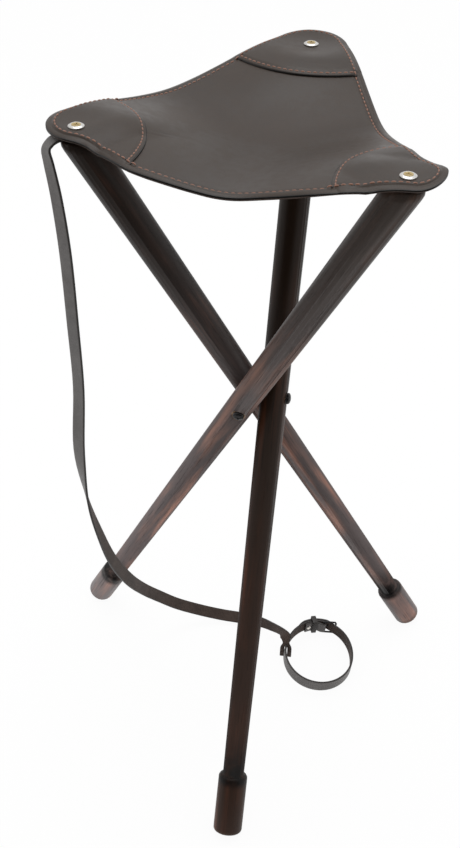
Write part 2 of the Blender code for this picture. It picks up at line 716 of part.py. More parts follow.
def ring_frame():
    """The leaning loop's frame: origin at its middle on its lower edge, turned up at its left end."""
    right_end = Vector((RING_CENTRE[0] + RING_WIDE, RING_CENTRE[1], RING_FLOOR_GAP))
    lean = Matrix.Rotation(RING_LEAN, 4, "Y")
    return Matrix.Translation(right_end) @ lean @ Matrix.Translation((-RING_WIDE, 0, 0))


def ring_outward(angle):
    return Vector((math.cos(angle) / RING_WIDE, math.sin(angle) / RING_DEEP)).normalized()


def ring_point(angle, offset=0.0):
    """A plan point of the loop at an angle, moved outwards square to it."""
    point = Vector((RING_WIDE * math.cos(angle), RING_DEEP * math.sin(angle)))
    return point + ring_outward(angle) * offset


def past_bar(distance):
    """The loop's angle at a distance from the buckle's bar, on the chape side where positive."""
    return math.pi / 2 + distance / RING_WIDE


def on_ring(distance, offset=0.0):
    """A frame half way up the strap: X back along it, Y outwards, Z up."""
    angle = past_bar(distance)
    spot = ring_point(angle, offset)
    outward = ring_outward(angle)
    turn = math.atan2(outward.y, outward.x) - math.pi / 2
    place = Matrix.Translation((spot.x, spot.y, STRAP_WIDTH / 2))
    return ring_frame() @ place @ Matrix.Rotation(turn, 4, "Z")


def buckle_strap_route():
    """Plan points from the folded end, round the bar, round the loop and out along the tail."""
    bar = -FOLD_RADIUS
    route = []
    fold_steps = 6
    for step in range(fold_steps):
        distance = FOLD_LENGTH + (FOLD_OPEN - FOLD_LENGTH) * step / (fold_steps - 1)
        spread = min(max((FOLD_OPENS - distance) / (FOLD_OPENS - FOLD_OPEN), 0.0), 1.0)
        route.append(ring_point(past_bar(distance), -LAYER - spread * (2 * FOLD_RADIUS - LAYER)))
    for step in range(7):
        angle = math.radians(-90 + 30 * step)
        side, out = FOLD_RADIUS * math.cos(angle), bar + FOLD_RADIUS * math.sin(angle)
        route.append(ring_point(past_bar(-side), out))
    loop_start = past_bar(LOOP_MARGIN)
    loop_end = past_bar(-FRAME_REACH - LOOP_MARGIN) + 2 * math.pi
    loop_steps = 44
    for step in range(loop_steps + 1):
        route.append(ring_point(loop_start + (loop_end - loop_start) * step / loop_steps))
    tail_steps = 10
    tail_start = -FRAME_REACH
    for step in range(tail_steps + 1):
        distance = tail_start + (TAIL_LENGTH - tail_start) * step / tail_steps
        climb = min(max((distance - tail_start) / (FRAME_REACH - FOLD_OPEN), 0.0), 1.0)
        route.append(ring_point(past_bar(distance), LAYER * climb))
    return route


def ring_cutter(name, size, distance, offset):
    """A box cutter lying along the loop: its size along, through and up the strap."""
    return add_cutter(name, box_mesh(name, size), on_ring(distance, offset), stool)


def add_buckle_strap():
    pairs = [((p.x, p.y, 0), (p.x, p.y, STRAP_WIDTH)) for p in buckle_strap_route()]
    strap = add_strip("buckle_strap", pairs, ring_frame())
    crew_length, crew_height = CREW_HOLE
    crew_centre = -crew_length / 2 + FOLD_RADIUS / 2
    crew = (crew_length + 2 * FOLD_RADIUS, 4 * FOLD_RADIUS - LAYER, crew_height)
    boolean(strap, ring_cutter("crew_hole", crew, crew_centre, -FOLD_RADIUS - LAYER / 4))
    billet_length, billet_height = BILLET_HOLE
    billet = (billet_length, 4 * LAYER, billet_height)
    boolean(strap, ring_cutter("billet_hole", billet, -FRAME_REACH / 2, LAYER))
    rivet_room = 2 * (RIVET_RADIUS + GAP)
    rivet = (rivet_room, 2 * LAYER + STRAP_THICKNESS / 2, rivet_room)
    boolean(strap, ring_cutter("rivet_hole", rivet, RIVET_AT, -LAYER + STRAP_THICKNESS / 4))
    return strap


def add_wire(name, points, radius, cyclic):
    """A bent wire through points of the loop's frame."""
    curve = bpy.data.curves.new(name, "CURVE")
    curve.dimensions = "3D"
    curve.bevel_depth = radius
    curve.bevel_resolution = 2
    curve.use_fill_caps = True
    spline = curve.splines.new("POLY")
    spline.points.add(len(points) - 1)
    for target, point in zip(spline.points, points):
        target.co = (*point, 1)
    spline.use_cyclic_u = cyclic
    return add_object(name, curve, ring_frame(), stool, BLACK_STEEL)


def buckle_point(distance, offset, height):
    spot = ring_point(past_bar(-distance), offset)
    return (spot.x, spot.y, STRAP_WIDTH / 2 + height)


FAR_BAR_OFFSET = STRAP_THICKNESS / 2 + GAP + BAR_RADIUS


def add_buckle_frame():
    side = STRAP_WIDTH / 2 + FRAME_SIDE_GAP + BAR_RADIUS
    near, far = -FOLD_RADIUS, FAR_BAR_OFFSET
    inner, last = side - FRAME_ROUNDING, FRAME_REACH - FRAME_ROUNDING
    half = [(0, near, inner), (FRAME_ROUNDING, near, side), (last, far, side), (FRAME_REACH, far, inner)]
    other = [(distance, offset, -height) for distance, offset, height in reversed(half)]
    points = [buckle_point(*corner) for corner in half + other]
    return add_wire("buckle_frame", points, BAR_RADIUS, cyclic=True)


def add_buckle_prong():
    """The prong: an open hook round the bar and a straight tongue that rests on the far bar."""
    hook = BAR_RADIUS + GAP + PRONG_RADIUS
    rest = FAR_BAR_OFFSET + BAR_RADIUS + GAP + PRONG_RADIUS
    points = []
    for step in range(8):
        angle = math.radians(-40 - 35 * step)
        points.append(buckle_point(hook * math.cos(angle), -FOLD_RADIUS + hook * math.sin(angle), 0))
    points += [buckle_point(FRAME_REACH + over, rest, 0) for over in (0, PRONG_OVERHANG)]
    return add_wire("buckle_prong", points, PRONG_RADIUS, cyclic=False)


def add_strap_keeper():
    """The leather loop that holds the tail down on the strap."""
    deep = 2 * LAYER + STRAP_THICKNESS + 2 * KEEPER_ROOM
    high = STRAP_WIDTH + 2 * KEEPER_ROOM
    wall = 2 * KEEPER_THICKNESS
    matrix = on_ring(KEEPER_AT)
    mesh = box_mesh("strap_keeper", (KEEPER_WIDTH, deep + wall, high + wall))
    keeper = add_object("strap_keeper", mesh, matrix, stool, STRAP_LEATHER)
    room = box_mesh("keeper_room", (2 * KEEPER_WIDTH, deep, high))
    boolean(keeper, add_cutter("keeper_room", room, matrix, stool))
    return keeper


def add_chape_rivet():
    """The rivet through the folded end, its head inside the loop."""
    length = LAYER + STRAP_THICKNESS / 2
    inner = STRAP_THICKNESS / 2 + LAYER + GAP
    out, up = RIVET_DOME
    points = [(0, inner + RIVET_HEAD_HEIGHT), (RIVET_HEAD_RADIUS * out, inner + RIVET_HEAD_HEIGHT * up)]
    points += [(RIVET_HEAD_RADIUS, inner), (RIVET_RADIUS, inner)]
    points += [(RIVET_RADIUS, inner - length), (0, inner - length)]
    matrix = on_ring(RIVET_AT) @ along_y(flip=-1)
    return add_turned("chape_rivet", points, matrix, stool, NICKEL, steps=12)


def stand_on_origin(left_out):
    """Moves the stool so that the origin is under the middle of its box, leaving the loose strap out."""
    bpy.context.view_layer.update()
    graph = bpy.context.evaluated_depsgraph_get()
    low, high = Vector((9, 9, 9)), Vector((-9, -9, -9))
    for obj in parts.objects:
        if obj.type == "EMPTY" or obj in left_out:
            continue
        evaluated = obj.evaluated_get(graph)
        mesh = evaluated.to_mesh()
        for vert in mesh.vertices:
            place = evaluated.matrix_world @ vert.co
            low = Vector(map(min, low, place))
            high = Vector(map(max, high, place))
        evaluated.to_mesh_clear()
    stool.location = (-(low.x + high.x) / 2, -(low.y + high.y) / 2, -low.z)


def build_stool():
    sideways = Vector((1, 0, 0))
    hub = new_empty("hub", frame_matrix(sideways, BOLT_AXIS, sideways.cross(BOLT_AXIS), HUB), stool)
    legs = add_legs()
    add_pivot_bolt(hub)
    add_eye_bolt(hub)
    add_seat_screws(legs, *add_seat())
    loose = [add_carry_strap(), add_buckle_strap(), add_buckle_frame(), add_buckle_prong()]
    loose += [add_strap_keeper(), add_chape_rivet()]
    stand_on_origin(loose)


build_stool()
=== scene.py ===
import json
import math

import bmesh
import bpy
from mathutils import Matrix, Vector, noise


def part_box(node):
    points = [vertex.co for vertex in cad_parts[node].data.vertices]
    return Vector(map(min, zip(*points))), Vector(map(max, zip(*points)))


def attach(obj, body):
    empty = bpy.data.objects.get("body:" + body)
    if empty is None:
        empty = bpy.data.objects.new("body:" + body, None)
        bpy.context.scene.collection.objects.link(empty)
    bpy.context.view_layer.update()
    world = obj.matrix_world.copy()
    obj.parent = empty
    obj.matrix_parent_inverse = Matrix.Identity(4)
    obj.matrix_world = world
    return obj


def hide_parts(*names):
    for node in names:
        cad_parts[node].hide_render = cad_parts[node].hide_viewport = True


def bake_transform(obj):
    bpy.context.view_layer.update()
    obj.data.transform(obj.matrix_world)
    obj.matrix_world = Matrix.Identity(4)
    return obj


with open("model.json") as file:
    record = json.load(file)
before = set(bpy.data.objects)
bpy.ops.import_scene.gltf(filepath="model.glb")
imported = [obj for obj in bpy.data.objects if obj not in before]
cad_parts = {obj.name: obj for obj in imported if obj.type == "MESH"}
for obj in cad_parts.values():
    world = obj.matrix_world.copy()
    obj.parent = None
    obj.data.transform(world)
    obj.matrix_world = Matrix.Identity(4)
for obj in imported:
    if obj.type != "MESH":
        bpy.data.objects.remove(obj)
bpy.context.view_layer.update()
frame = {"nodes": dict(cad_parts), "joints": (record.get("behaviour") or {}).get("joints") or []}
scene = bpy.context.scene
scene.view_settings.view_transform = "Standard"
print("frame loaded:", len(frame["nodes"]), "pieces")

third = 2 * math.pi / 3


def clamp(value):
    return min(max(value, 0.0), 1.0)


def plan(reach, turn):
    return Vector((reach * math.cos(turn), reach * math.sin(turn)))


def middleOf(node):
    low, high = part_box(node)
    return (low + high) / 2


def deselectAll():
    bpy.ops.object.select_all(action="DESELECT")


def only(piece):
    deselectAll()
    piece.select_set(True)
    bpy.context.view_layer.objects.active = piece


def addObject(name, data):
    added = bpy.data.objects.new(name, data)
    scene.collection.objects.link(added)
    return added


def newPiece(name, bm, *finishes):
    mesh = bpy.data.meshes.new(name)
    bm.to_mesh(mesh)
    bm.free()
    for finish in finishes:
        mesh.materials.append(finish)
    return addObject(name, mesh)


def applyAll(piece):
    only(piece)
    for modifier in list(piece.modifiers):
        bpy.ops.object.modifier_apply(modifier=modifier.name)


def smooth(piece, degrees):
    only(piece)
    bpy.ops.object.shade_smooth_by_angle(angle=math.radians(degrees))


def editAll(piece, *edits):
    only(piece)
    bpy.ops.object.mode_set(mode="EDIT")
    bpy.ops.mesh.select_all(action="SELECT")
    for edit, options in edits:
        edit(**options)
    bpy.ops.object.mode_set(mode="OBJECT")


def modify(piece, kind, **settings):
    modifier = piece.modifiers.new(kind.lower(), kind)
    for key, value in settings.items():
        setattr(modifier, key, value)


def addBevel(piece, width, degrees, **settings):
    limit = math.radians(degrees)
    modify(piece, "BEVEL", width=width, segments=2, limit_method="ANGLE", angle_limit=limit, **settings)


# Shader nodes
def setInputs(tree, node, inputs):
    for key, value in inputs.items():
        if isinstance(value, bpy.types.NodeSocket):
            tree.links.new(value, node.inputs[key])
        else:
            node.inputs[key].default_value = value


def addNode(tree, kind, inputs=None, **settings):
    node = tree.nodes.new("ShaderNode" + kind)
    for key, value in settings.items():
        setattr(node, key, value)
    setInputs(tree, node, inputs or {})
    return node


def maths(tree, operation, *values):
    return addNode(tree, "Math", dict(enumerate(values)), operation=operation).outputs[0]


def times(tree, first, second):
    return maths(tree, "MULTIPLY", first, second)


def vectorMaths(tree, operation, *values):
    return addNode(tree, "VectorMath", dict(enumerate(values)), operation=operation).outputs


def newFinish(name):
    finish = bpy.data.materials.new(name)
    finish.use_nodes = True
    return finish, finish.node_tree


# Camera and stage
viewSettings = {
    "place": (0.15148, -0.96106, 1.14515),
    "azimuth": 9.594,
    "elevation": 39.4805,
    "roll": 1.093,
    "focalPixels": 1241.73,
    "middlePixel": (228.56, 463.82),
    "frame": (460, 848),
    "sensor": 36.0,
}


def makeCamera():
    s = viewSettings
    wide, high = s["frame"]
    longSide = max(wide, high)
    middleX, middleY = s["middlePixel"]
    data = bpy.data.cameras.new("viewCamera")
    data.sensor_width = s["sensor"]
    data.lens = s["focalPixels"] * s["sensor"] / longSide
    data.shift_x = (wide / 2 - middleX) / longSide
    data.shift_y = (middleY - high / 2) / longSide
    camera = addObject("viewCamera", data)
    across, up = math.radians(s["azimuth"]), math.radians(s["elevation"])
    back = Vector((math.sin(across) * math.cos(up), -math.cos(across) * math.cos(up), math.sin(up)))
    turn = (-back).to_track_quat("-Z", "Y").to_matrix().to_4x4()
    roll = Matrix.Rotation(math.radians(s["roll"]), 4, "Z")
    camera.matrix_world = Matrix.Translation(s["place"]) @ turn @ roll
    scene.camera = camera


stageSettings = {
    "floorSize": 12.0,
    "floorColour": (0.93, 0.93, 0.93, 1),
    "floorRough": 0.9,
    "glow": 1.02,
    "floorGlow": 0.92,  # share of the glow where the floor is seen
    "worldLight": 0.62,
    "lamps": (
        {"name": "topSoftbox", "place": (0.0, 0.6, 2.5), "aim": (0, 0, 0.6), "size": 1.4, "power": 17},
    ),
    "flagTone": (0.03, 0.028, 0.027, 1),
    "flags": (  # dark cloths in front, which only gleams show
        {"name": "floorFlag", "place": (0, -2.4, 0.004), "turn": (0, 0, 0), "size": (6, 3.5)},
        {"name": "frontFlag", "place": (0, -2.2, 1.5), "turn": (math.pi / 2, 0, 0), "size": (6, 3)},
    ),
}


def seenDirectly(tree):
    path = addNode(tree, "LightPath").outputs
    mirrored = maths(tree, "MAXIMUM", path["Is Camera Ray"], path["Is Glossy Ray"])
    return maths(tree, "MAXIMUM", mirrored, path["Is Transmission Ray"])


def makeFloor():
    s = stageSettings
    bpy.ops.mesh.primitive_plane_add(size=s["floorSize"])
    floor = bpy.context.object
    floor.name = "floor"
    paint, tree = newFinish("floorPaint")
    shader = tree.nodes["Principled BSDF"]
    setInputs(tree, shader, {"Base Color": s["floorColour"], "Roughness": s["floorRough"]})
    glow = addNode(tree, "Emission", {"Strength": s["glow"]})
    share = times(tree, seenDirectly(tree), s["floorGlow"])
    mix = addNode(tree, "MixShader", {0: share, 1: shader.outputs[0], 2: glow.outputs[0]})
    setInputs(tree, tree.nodes["Material Output"], {0: mix.outputs[0]})
    floor.data.materials.append(paint)


def makeLight():
    world = bpy.data.worlds.new("studio")
    scene.world = world
    world.use_nodes = True
    tree = world.node_tree
    inputs = {"Value": seenDirectly(tree), "To Min": stageSettings["worldLight"]}
    strength = addNode(tree, "MapRange", inputs).outputs[0]
    setInputs(tree, tree.nodes["Background"], {"Color": (1, 1, 1, 1), "Strength": strength})
    for lamp in stageSettings["lamps"]:
        data = bpy.data.lights.new(lamp["name"], "AREA")
        data.size = lamp["size"]
        data.energy = lamp["power"]
        light = addObject(lamp["name"], data)
        light.location = lamp["place"]
        aim = Vector(lamp["aim"]) - Vector(lamp["place"])
        light.rotation_euler = aim.to_track_quat("-Z", "Y").to_euler()


def makeFlags():
    cloth, tree = newFinish("flagCloth")
    shader = tree.nodes["Principled BSDF"]
    setInputs(tree, shader, {"Base Color": stageSettings["flagTone"], "Roughness": 1.0})
    for flag in stageSettings["flags"]:
        bpy.ops.mesh.primitive_plane_add(size=1, location=flag["place"], rotation=flag["turn"])
        card = bpy.context.object
        card.name = flag["name"]
        card.scale = (*flag["size"], 1)
        card.data.materials.append(cloth)
        card.visible_camera = False
        card.visible_diffuse = False
        card.visible_shadow = False


deselectAll()
makeCamera()
makeFloor()
makeLight()
makeFlags()
print("camera and stage made")


# Shared effects for the finishes
def newGroup(name, inputs, outputs):
    tree = bpy.data.node_groups.new(name, "ShaderNodeTree")
    for way, sockets in (("INPUT", inputs), ("OUTPUT", outputs)):
        for label, kind in sockets.items():
            tree.interface.new_socket(label, in_out=way, socket_type=f"NodeSocket{kind}")
    return tree, tree.nodes.new("NodeGroupInput"), tree.nodes.new("NodeGroupOutput")


def stretched(tree, vector, scale):
    return vectorMaths(tree, "MULTIPLY", vector, scale)[0]


def noiseOf(tree, vector, scale, detail=3.0, roughness=0.55):
    inputs = {"Vector": vector, "Scale": scale, "Detail": detail, "Roughness": roughness}
    return addNode(tree, "TexNoise", inputs).outputs[0]


def ramped(tree, value, low, high, toLow=0.0, toHigh=1.0):
    inputs = {"Value": value, "From Min": low, "From Max": high, "To Min": toLow, "To Max": toHigh}
    return addNode(tree, "MapRange", inputs, interpolation_type="SMOOTHSTEP").outputs[0]


def mixed(tree, share, first, second):
    inputs = {"Factor": share, 6: first, 7: second}
    return addNode(tree, "Mix", inputs, data_type="RGBA").outputs[2]


stainSettings = {
    "cool": (0.62, 0.67, 0.71, 1),  # what a leg's tone is multiplied by
    "warm": (1.9, 1.35, 1.12, 1),
    "pore": (0.008, 0.006, 0.005, 1),
    "poreShare": 0.4,
    "rough": 0.40,
    "poreRough": 0.16,
    "bandHeight": 0.35,
}


def makeStainGroup():
    # Stain in turned wood: Z runs along the grain
    s = stainSettings
    outputs = {"Color": "Color", "Roughness": "Float", "Height": "Float"}
    tree, start, end = newGroup("woodStain", {"Vector": "Vector", "Tone": "Color"}, outputs)
    spot = start.outputs["Vector"]
    bands = noiseOf(tree, stretched(tree, spot, (1, 1, 0.07)), scale=95.0, detail=4.0)
    clouds = noiseOf(tree, stretched(tree, spot, (1, 1, 0.35)), scale=24.0, detail=2.0)
    pores = noiseOf(tree, stretched(tree, spot, (1, 1, 0.03)), scale=900.0, detail=2.0, roughness=0.7)
    warmth = times(tree, ramped(tree, bands, 0.40, 0.68), ramped(tree, clouds, 0.36, 0.64))
    pore = ramped(tree, pores, 0.56, 0.70)
    strength = mixed(tree, warmth, s["cool"], s["warm"])
    colour = stretched(tree, start.outputs["Tone"], strength)
    colour = mixed(tree, times(tree, pore, s["poreShare"]), colour, s["pore"])
    rough = maths(tree, "MULTIPLY_ADD", pore, s["poreRough"], s["rough"])
    height = maths(tree, "SUBTRACT", times(tree, bands, s["bandHeight"]), pore)
    setInputs(tree, end, {"Color": colour, "Roughness": rough, "Height": height})
    return tree


def makeHideGroup():
    # Fine hide grain with slow shifts of tone, and a mask of the grain's valleys for painted shade
    outputs = {"Tone": "Float", "Height": "Float", "Crease Shade": "Float"}
    tree, start, end = newGroup("hideGrain", {"Vector": "Vector", "Grain Size": "Float"}, outputs)
    spot = start.outputs["Vector"]
    scale = maths(tree, "DIVIDE", 1.0, start.outputs["Grain Size"])
    cells = addNode(tree, "TexVoronoi", {"Vector": spot, "Scale": scale}, feature="DISTANCE_TO_EDGE")
    pebble = ramped(tree, cells.outputs[0], 0.0, 0.28)
    fine = noiseOf(tree, spot, times(tree, scale, 2.1), detail=2.0)
    slow = noiseOf(tree, spot, scale=17.0)
    patchy = noiseOf(tree, spot, scale=140.0)
    tone = maths(tree, "ADD", times(tree, slow, 0.6), times(tree, patchy, 0.4))
    height = maths(tree, "ADD", pebble, times(tree, fine, 0.6))
    creaseShade = maths(tree, "SUBTRACT", 1.0, pebble)
    setInputs(tree, end, {"Tone": ramped(tree, tone, 0.34, 0.66), "Height": height, "Crease Shade": creaseShade})
    return tree


def makeHandlingGroup():
    # Faint scuffs and smears on metal
    tree, start, end = newGroup("handling", {"Vector": "Vector"}, {"Scuff": "Float", "Smear": "Float"})
    spot = start.outputs["Vector"]
    lines = noiseOf(tree, stretched(tree, spot, (1, 0.2, 1)), scale=2600.0, detail=2.0)
    smears = noiseOf(tree, spot, scale=420.0)
    setInputs(tree, end, {"Scuff": ramped(tree, lines, 0.55, 0.75), "Smear": ramped(tree, smears, 0.35, 0.7)})
    return tree


stainGroup = makeStainGroup()
hideGroup = makeHideGroup()
handlingGroup = makeHandlingGroup()


def placeGroup(tree, group, inputs):
    return addNode(tree, "Group", inputs, node_tree=group).outputs


def objectSpot(tree):
    return addNode(tree, "TexCoord").outputs["Object"]


def finished(finish, inputs, height, strength, distance):
    tree = finish.node_tree
    bump = addNode(tree, "Bump", {"Height": height, "Strength": strength, "Distance": distance}).outputs[0]
    setInputs(tree, tree.nodes["Principled BSDF"], {**inputs, "Normal": bump})
    return finish


# Legs: the stain follows each leg's own axis, and the tone grows paler towards the foot, partly as painted
# sheen from the bright floor
legSettings = {
    "tilt": math.radians(28.8),
    "stain": {  # tone at the top, and at the foot a paler tone that is partly painted sheen, where along the leg it changes, and gleam
        "front_leg": {
            "upper": (0.0280, 0.0140, 0.0075, 1),
            "lower": (0.060, 0.0285, 0.0180, 1),
            "fade": (0.1, -0.4),
            "gleam": 0.15,
        },
        "right_leg": {
            "upper": (0.0270, 0.0150, 0.0095, 1),
            "lower": (0.220, 0.165, 0.152, 1),
            "fade": (0.3, -0.3),
            "gleam": 0.25,
        },
        "left_leg": {
            "upper": (0.058, 0.0375, 0.0275, 1),
            "lower": (0.360, 0.282, 0.264, 1),
            "fade": (0.36, -0.36),
            "gleam": 0.22,
        },
    },
    "shoulder": 0.402,  # from the crossing down to the foot's shoulder
    "pooled": (0.005, 0.004, 0.0036, 1),  # where stain pools, above and below the shoulder
    "pooledAbove": (0.055, 0.002),
    "pooledBelow": (-0.014, -0.004),
    "footEnd": 0.4675,
    "rubbed": (0.075, 0.045, 0.028, 1),
    "rubbedReach": 0.006,
    "rubbedShare": 0.55,
    "turns": {"front_leg": 0.0, "right_leg": third, "left_leg": 2 * third},
    "bareWood": (0.34, 0.22, 0.14, 1),
    "spotFace": 0.0070,
    "spotFade": 0.0002,
    "bump": 0.14,
    "roundedAt": (0.0090, 0.0050, 0.0022, 0.0007),  # below the top end
    "topRounding": 0.30,
    "screwHole": 0.009,  # reach from the screw that isn't rounded
}


def jointOf(node):
    return next(joint for joint in frame["joints"] if joint["child"] == node)


def legFrame(node):
    turn, tilt = legSettings["turns"][node], legSettings["tilt"]
    along = Vector((-math.sin(turn) * math.sin(tilt), math.cos(turn) * math.sin(tilt), math.cos(tilt)))
    side = Vector((math.cos(turn), math.sin(turn), 0))
    axes = Matrix((side, along.cross(side), along)).transposed().to_4x4()
    return Matrix.Translation(jointOf(node)["pos_m"]) @ axes


def makeWood(node):
    s, tones, joint = legSettings, legSettings["stain"][node], jointOf(node)
    finish, tree = newFinish(camelName(node) + "Stain")
    place, turn, _ = legFrame(node).inverted().decompose()
    inputs = {"Vector": objectSpot(tree), "Location": place, "Rotation": turn.to_euler("XYZ")}
    spot = addNode(tree, "Mapping", inputs).outputs[0]
    along = addNode(tree, "SeparateXYZ", {0: spot}).outputs[2]
    # the tone blends towards the paler foot tone, which is partly painted sheen from the bright floor
    tone = mixed(tree, ramped(tree, along, *tones["fade"]), tones["upper"], tones["lower"])
    stain = placeGroup(tree, stainGroup, {"Vector": spot, "Tone": tone})
    above = ramped(tree, along, *(reach - s["shoulder"] for reach in s["pooledAbove"]))
    below = ramped(tree, along, *(reach - s["shoulder"] for reach in s["pooledBelow"]))
    blotch = ramped(tree, noiseOf(tree, spot, scale=70.0), 0.25, 0.6, 0.55, 1.0)
    pooled = times(tree, times(tree, above, below), blotch)
    colour = mixed(tree, pooled, stain["Color"], s["pooled"])
    rubbed = ramped(tree, along, s["rubbedReach"] - s["footEnd"], -s["footEnd"])
    colour = mixed(tree, times(tree, rubbed, s["rubbedShare"]), colour, s["rubbed"])
    away = vectorMaths(tree, "SUBTRACT", objectSpot(tree), joint["pos_m"])[0]
    across = vectorMaths(tree, "CROSS_PRODUCT", away, joint["axis"])[0]
    fromAxis = vectorMaths(tree, "LENGTH", across)["Value"]
    bare = ramped(tree, fromAxis, s["spotFace"] + s["spotFade"], s["spotFace"] - s["spotFade"])
    colour = mixed(tree, bare, colour, s["bareWood"])
    inputs = {"Base Color": colour, "Roughness": stain["Roughness"], "Specular IOR Level": tones["gleam"]}
    return finished(finish, inputs, stain["Height"], s["bump"], distance=0.0003)


# Leather and thread finishes
hideSettings = {
    "seat": {
        "low": (0.029, 0.0172, 0.0104, 1),
        "high": (0.0425, 0.0270, 0.0178, 1),
        "rough": 0.40,
        "grain": 0.0011,
    },
    "strap": {
        "low": (0.148, 0.138, 0.133, 1),
        "high": (0.215, 0.203, 0.197, 1),
        "rough": 0.42,
        "grain": 0.0009,
    },
    "edge": (0.006, 0.005, 0.0045, 1),
    "edgeReach": 0.0012,
    # share of painted shade in the grain's valleys
    "creaseShade": 0.35,
    "roughSpread": 0.05,
    "bump": 0.10,
    "specular": 0.30,
}


def makeHide(name, kind):
    s, settings = hideSettings, hideSettings[kind]
    edge, spread = s["edge"], s["roughSpread"]
    finish, tree = newFinish(name)
    grain = placeGroup(tree, hideGroup, {"Vector": objectSpot(tree), "Grain Size": settings["grain"]})
    colour = mixed(tree, grain["Tone"], settings["low"], settings["high"])
    # painted shade: the grain's valleys are darkened towards the edge colour
    creaseShade = times(tree, grain["Crease Shade"], s["creaseShade"])
    colour = mixed(tree, creaseShade, colour, edge)
    if kind == "seat":  # the burnished rim is darker
        rim = addNode(tree, "Attribute", attribute_name="rimDistance").outputs["Fac"]
        colour = mixed(tree, ramped(tree, rim, s["edgeReach"], 0.0), colour, edge)
    rough = ramped(tree, grain["Tone"], 0.0, 1.0, settings["rough"] - spread, settings["rough"] + spread)
    inputs = {"Base Color": colour, "Roughness": rough, "Specular IOR Level": s["specular"]}
    return finished(finish, inputs, grain["Height"], s["bump"], distance=0.0003)


fleshSettings = {
    "low": (0.034, 0.0205, 0.0150, 1),
    "high": (0.076, 0.051, 0.040, 1),
    "rough": 0.85,
    "sheen": 0.12,
    "bump": 0.35,
}


def makeFlesh():
    s = fleshSettings
    finish, tree = newFinish("strapFlesh")
    spot = objectSpot(tree)
    fibres = noiseOf(tree, spot, scale=850.0, detail=4.0, roughness=0.7)
    slow = noiseOf(tree, spot, scale=60.0, detail=2.0)
    tone = maths(tree, "ADD", times(tree, fibres, 0.65), times(tree, slow, 0.35))
    colour = mixed(tree, ramped(tree, tone, 0.36, 0.64), s["low"], s["high"])
    inputs = {"Base Color": colour, "Roughness": s["rough"], "Sheen Weight": s["sheen"]}
    return finished(finish, inputs, fibres, s["bump"], distance=0.0004)


edgeSettings = {
    "low": (0.008, 0.007, 0.006, 1),
    "high": (0.030, 0.022, 0.018, 1),
    "rough": (0.38, 0.6),
    "bump": 0.2,
}


# Dark edge dye, also used as painted shade in the stitch holes and the prong holes
def makeEdgeDye():
    s = edgeSettings
    finish, tree = newFinish("edgeDyeAndHoleShade")
    layers = noiseOf(tree, stretched(tree, objectSpot(tree), (1, 1, 3)), scale=500.0)
    colour = mixed(tree, layers, s["low"], s["high"])
    rough = ramped(tree, layers, 0.3, 0.7, *s["rough"])
    return finished(finish, {"Base Color": colour, "Roughness": rough}, layers, s["bump"], distance=0.0003)


threadSettings = {
    "low": (0.20, 0.086, 0.054, 1),
    "high": (0.37, 0.190, 0.132, 1),
    "twist": 480.0,
    "waver": 1.5,
    "rough": 0.62,
    "sheen": 0.2,
    "bump": 0.3,
}


def makeThread():
    s = threadSettings
    finish, tree = newFinish("copperThread")
    inputs = {"Vector": objectSpot(tree), "Scale": s["twist"], "Distortion": s["waver"]}
    twist = addNode(tree, "TexWave", inputs).outputs["Fac"]
    colour = mixed(tree, twist, s["low"], s["high"])
    inputs = {"Base Color": colour, "Roughness": s["rough"], "Sheen Weight": s["sheen"]}
    return finished(finish, inputs, twist, s["bump"], distance=0.0002)


# Metal finishes
metalSettings = {
    "blackSteel": {
        "base": (0.016, 0.016, 0.017, 1),
        "worn": (0.07, 0.068, 0.066, 1),
        "rough": 0.34,
        "metal": 0.6,  # the others are all metal
    },
    "nickelPlate": {"base": (0.62, 0.61, 0.59, 1), "worn": (0.44, 0.42, 0.40, 1), "rough": 0.20},
    "brassScrew": {"base": (0.47, 0.36, 0.17, 1), "worn": (0.27, 0.20, 0.09, 1), "rough": 0.30},
    "rivetNickel": {"base": (0.74, 0.71, 0.66, 1), "worn": (0.52, 0.49, 0.45, 1), "rough": 0.24},
}
wearSettings = {"share": 0.5, "rough": 0.14, "bump": 0.08}


def makeMetal(name):
    settings = metalSettings[name]
    finish, tree = newFinish(name)
    wear = placeGroup(tree, handlingGroup, {"Vector": objectSpot(tree)})
    share = times(tree, wear["Smear"], wearSettings["share"])
    colour = mixed(tree, share, settings["base"], settings["worn"])
    least, most = settings["rough"], settings["rough"] + wearSettings["rough"]
    rough = ramped(tree, wear["Smear"], 0.0, 1.0, least, most)
    inputs = {"Base Color": colour, "Metallic": settings.get("metal", 1.0), "Roughness": rough}
    return finished(finish, inputs, wear["Scuff"], wearSettings["bump"], distance=0.0001)


seatHide = makeHide("seatHide", "seat")
strapHide = makeHide("strapHide", "strap")
strapFlesh = makeFlesh()
edgeDyeAndHoleShade = makeEdgeDye()
copperThread = makeThread()
metals = {name: makeMetal(name) for name in metalSettings}
print("finishes made")


# Rigid pieces keep their CAD shape, with merged and softened edges
dressSettings = {"weld": 0.000002, "flat": math.radians(0.6), "sharp": 40}


def camelName(node):
    first, *rest = node.split("_")
    return first + "".join(word.title() for word in rest)


def dressNode(node, body, finish, bevel=0.0, degrees=35):
    mesh = frame["nodes"][node].data.copy()
    mesh.materials.clear()
    mesh.materials.append(finish)
    piece = addObject(camelName(node), mesh)
    weld = (bpy.ops.mesh.remove_doubles, {"threshold": dressSettings["weld"]})
    flatten = (bpy.ops.mesh.dissolve_limited, {"angle_limit": dressSettings["flat"]})
    editAll(piece, weld, flatten)
    if bevel:
        addBevel(piece, bevel, dressSettings["sharp"])
        applyAll(piece)
    smooth(piece, degrees)
    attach(piece, body)
    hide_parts(node)
    return piece


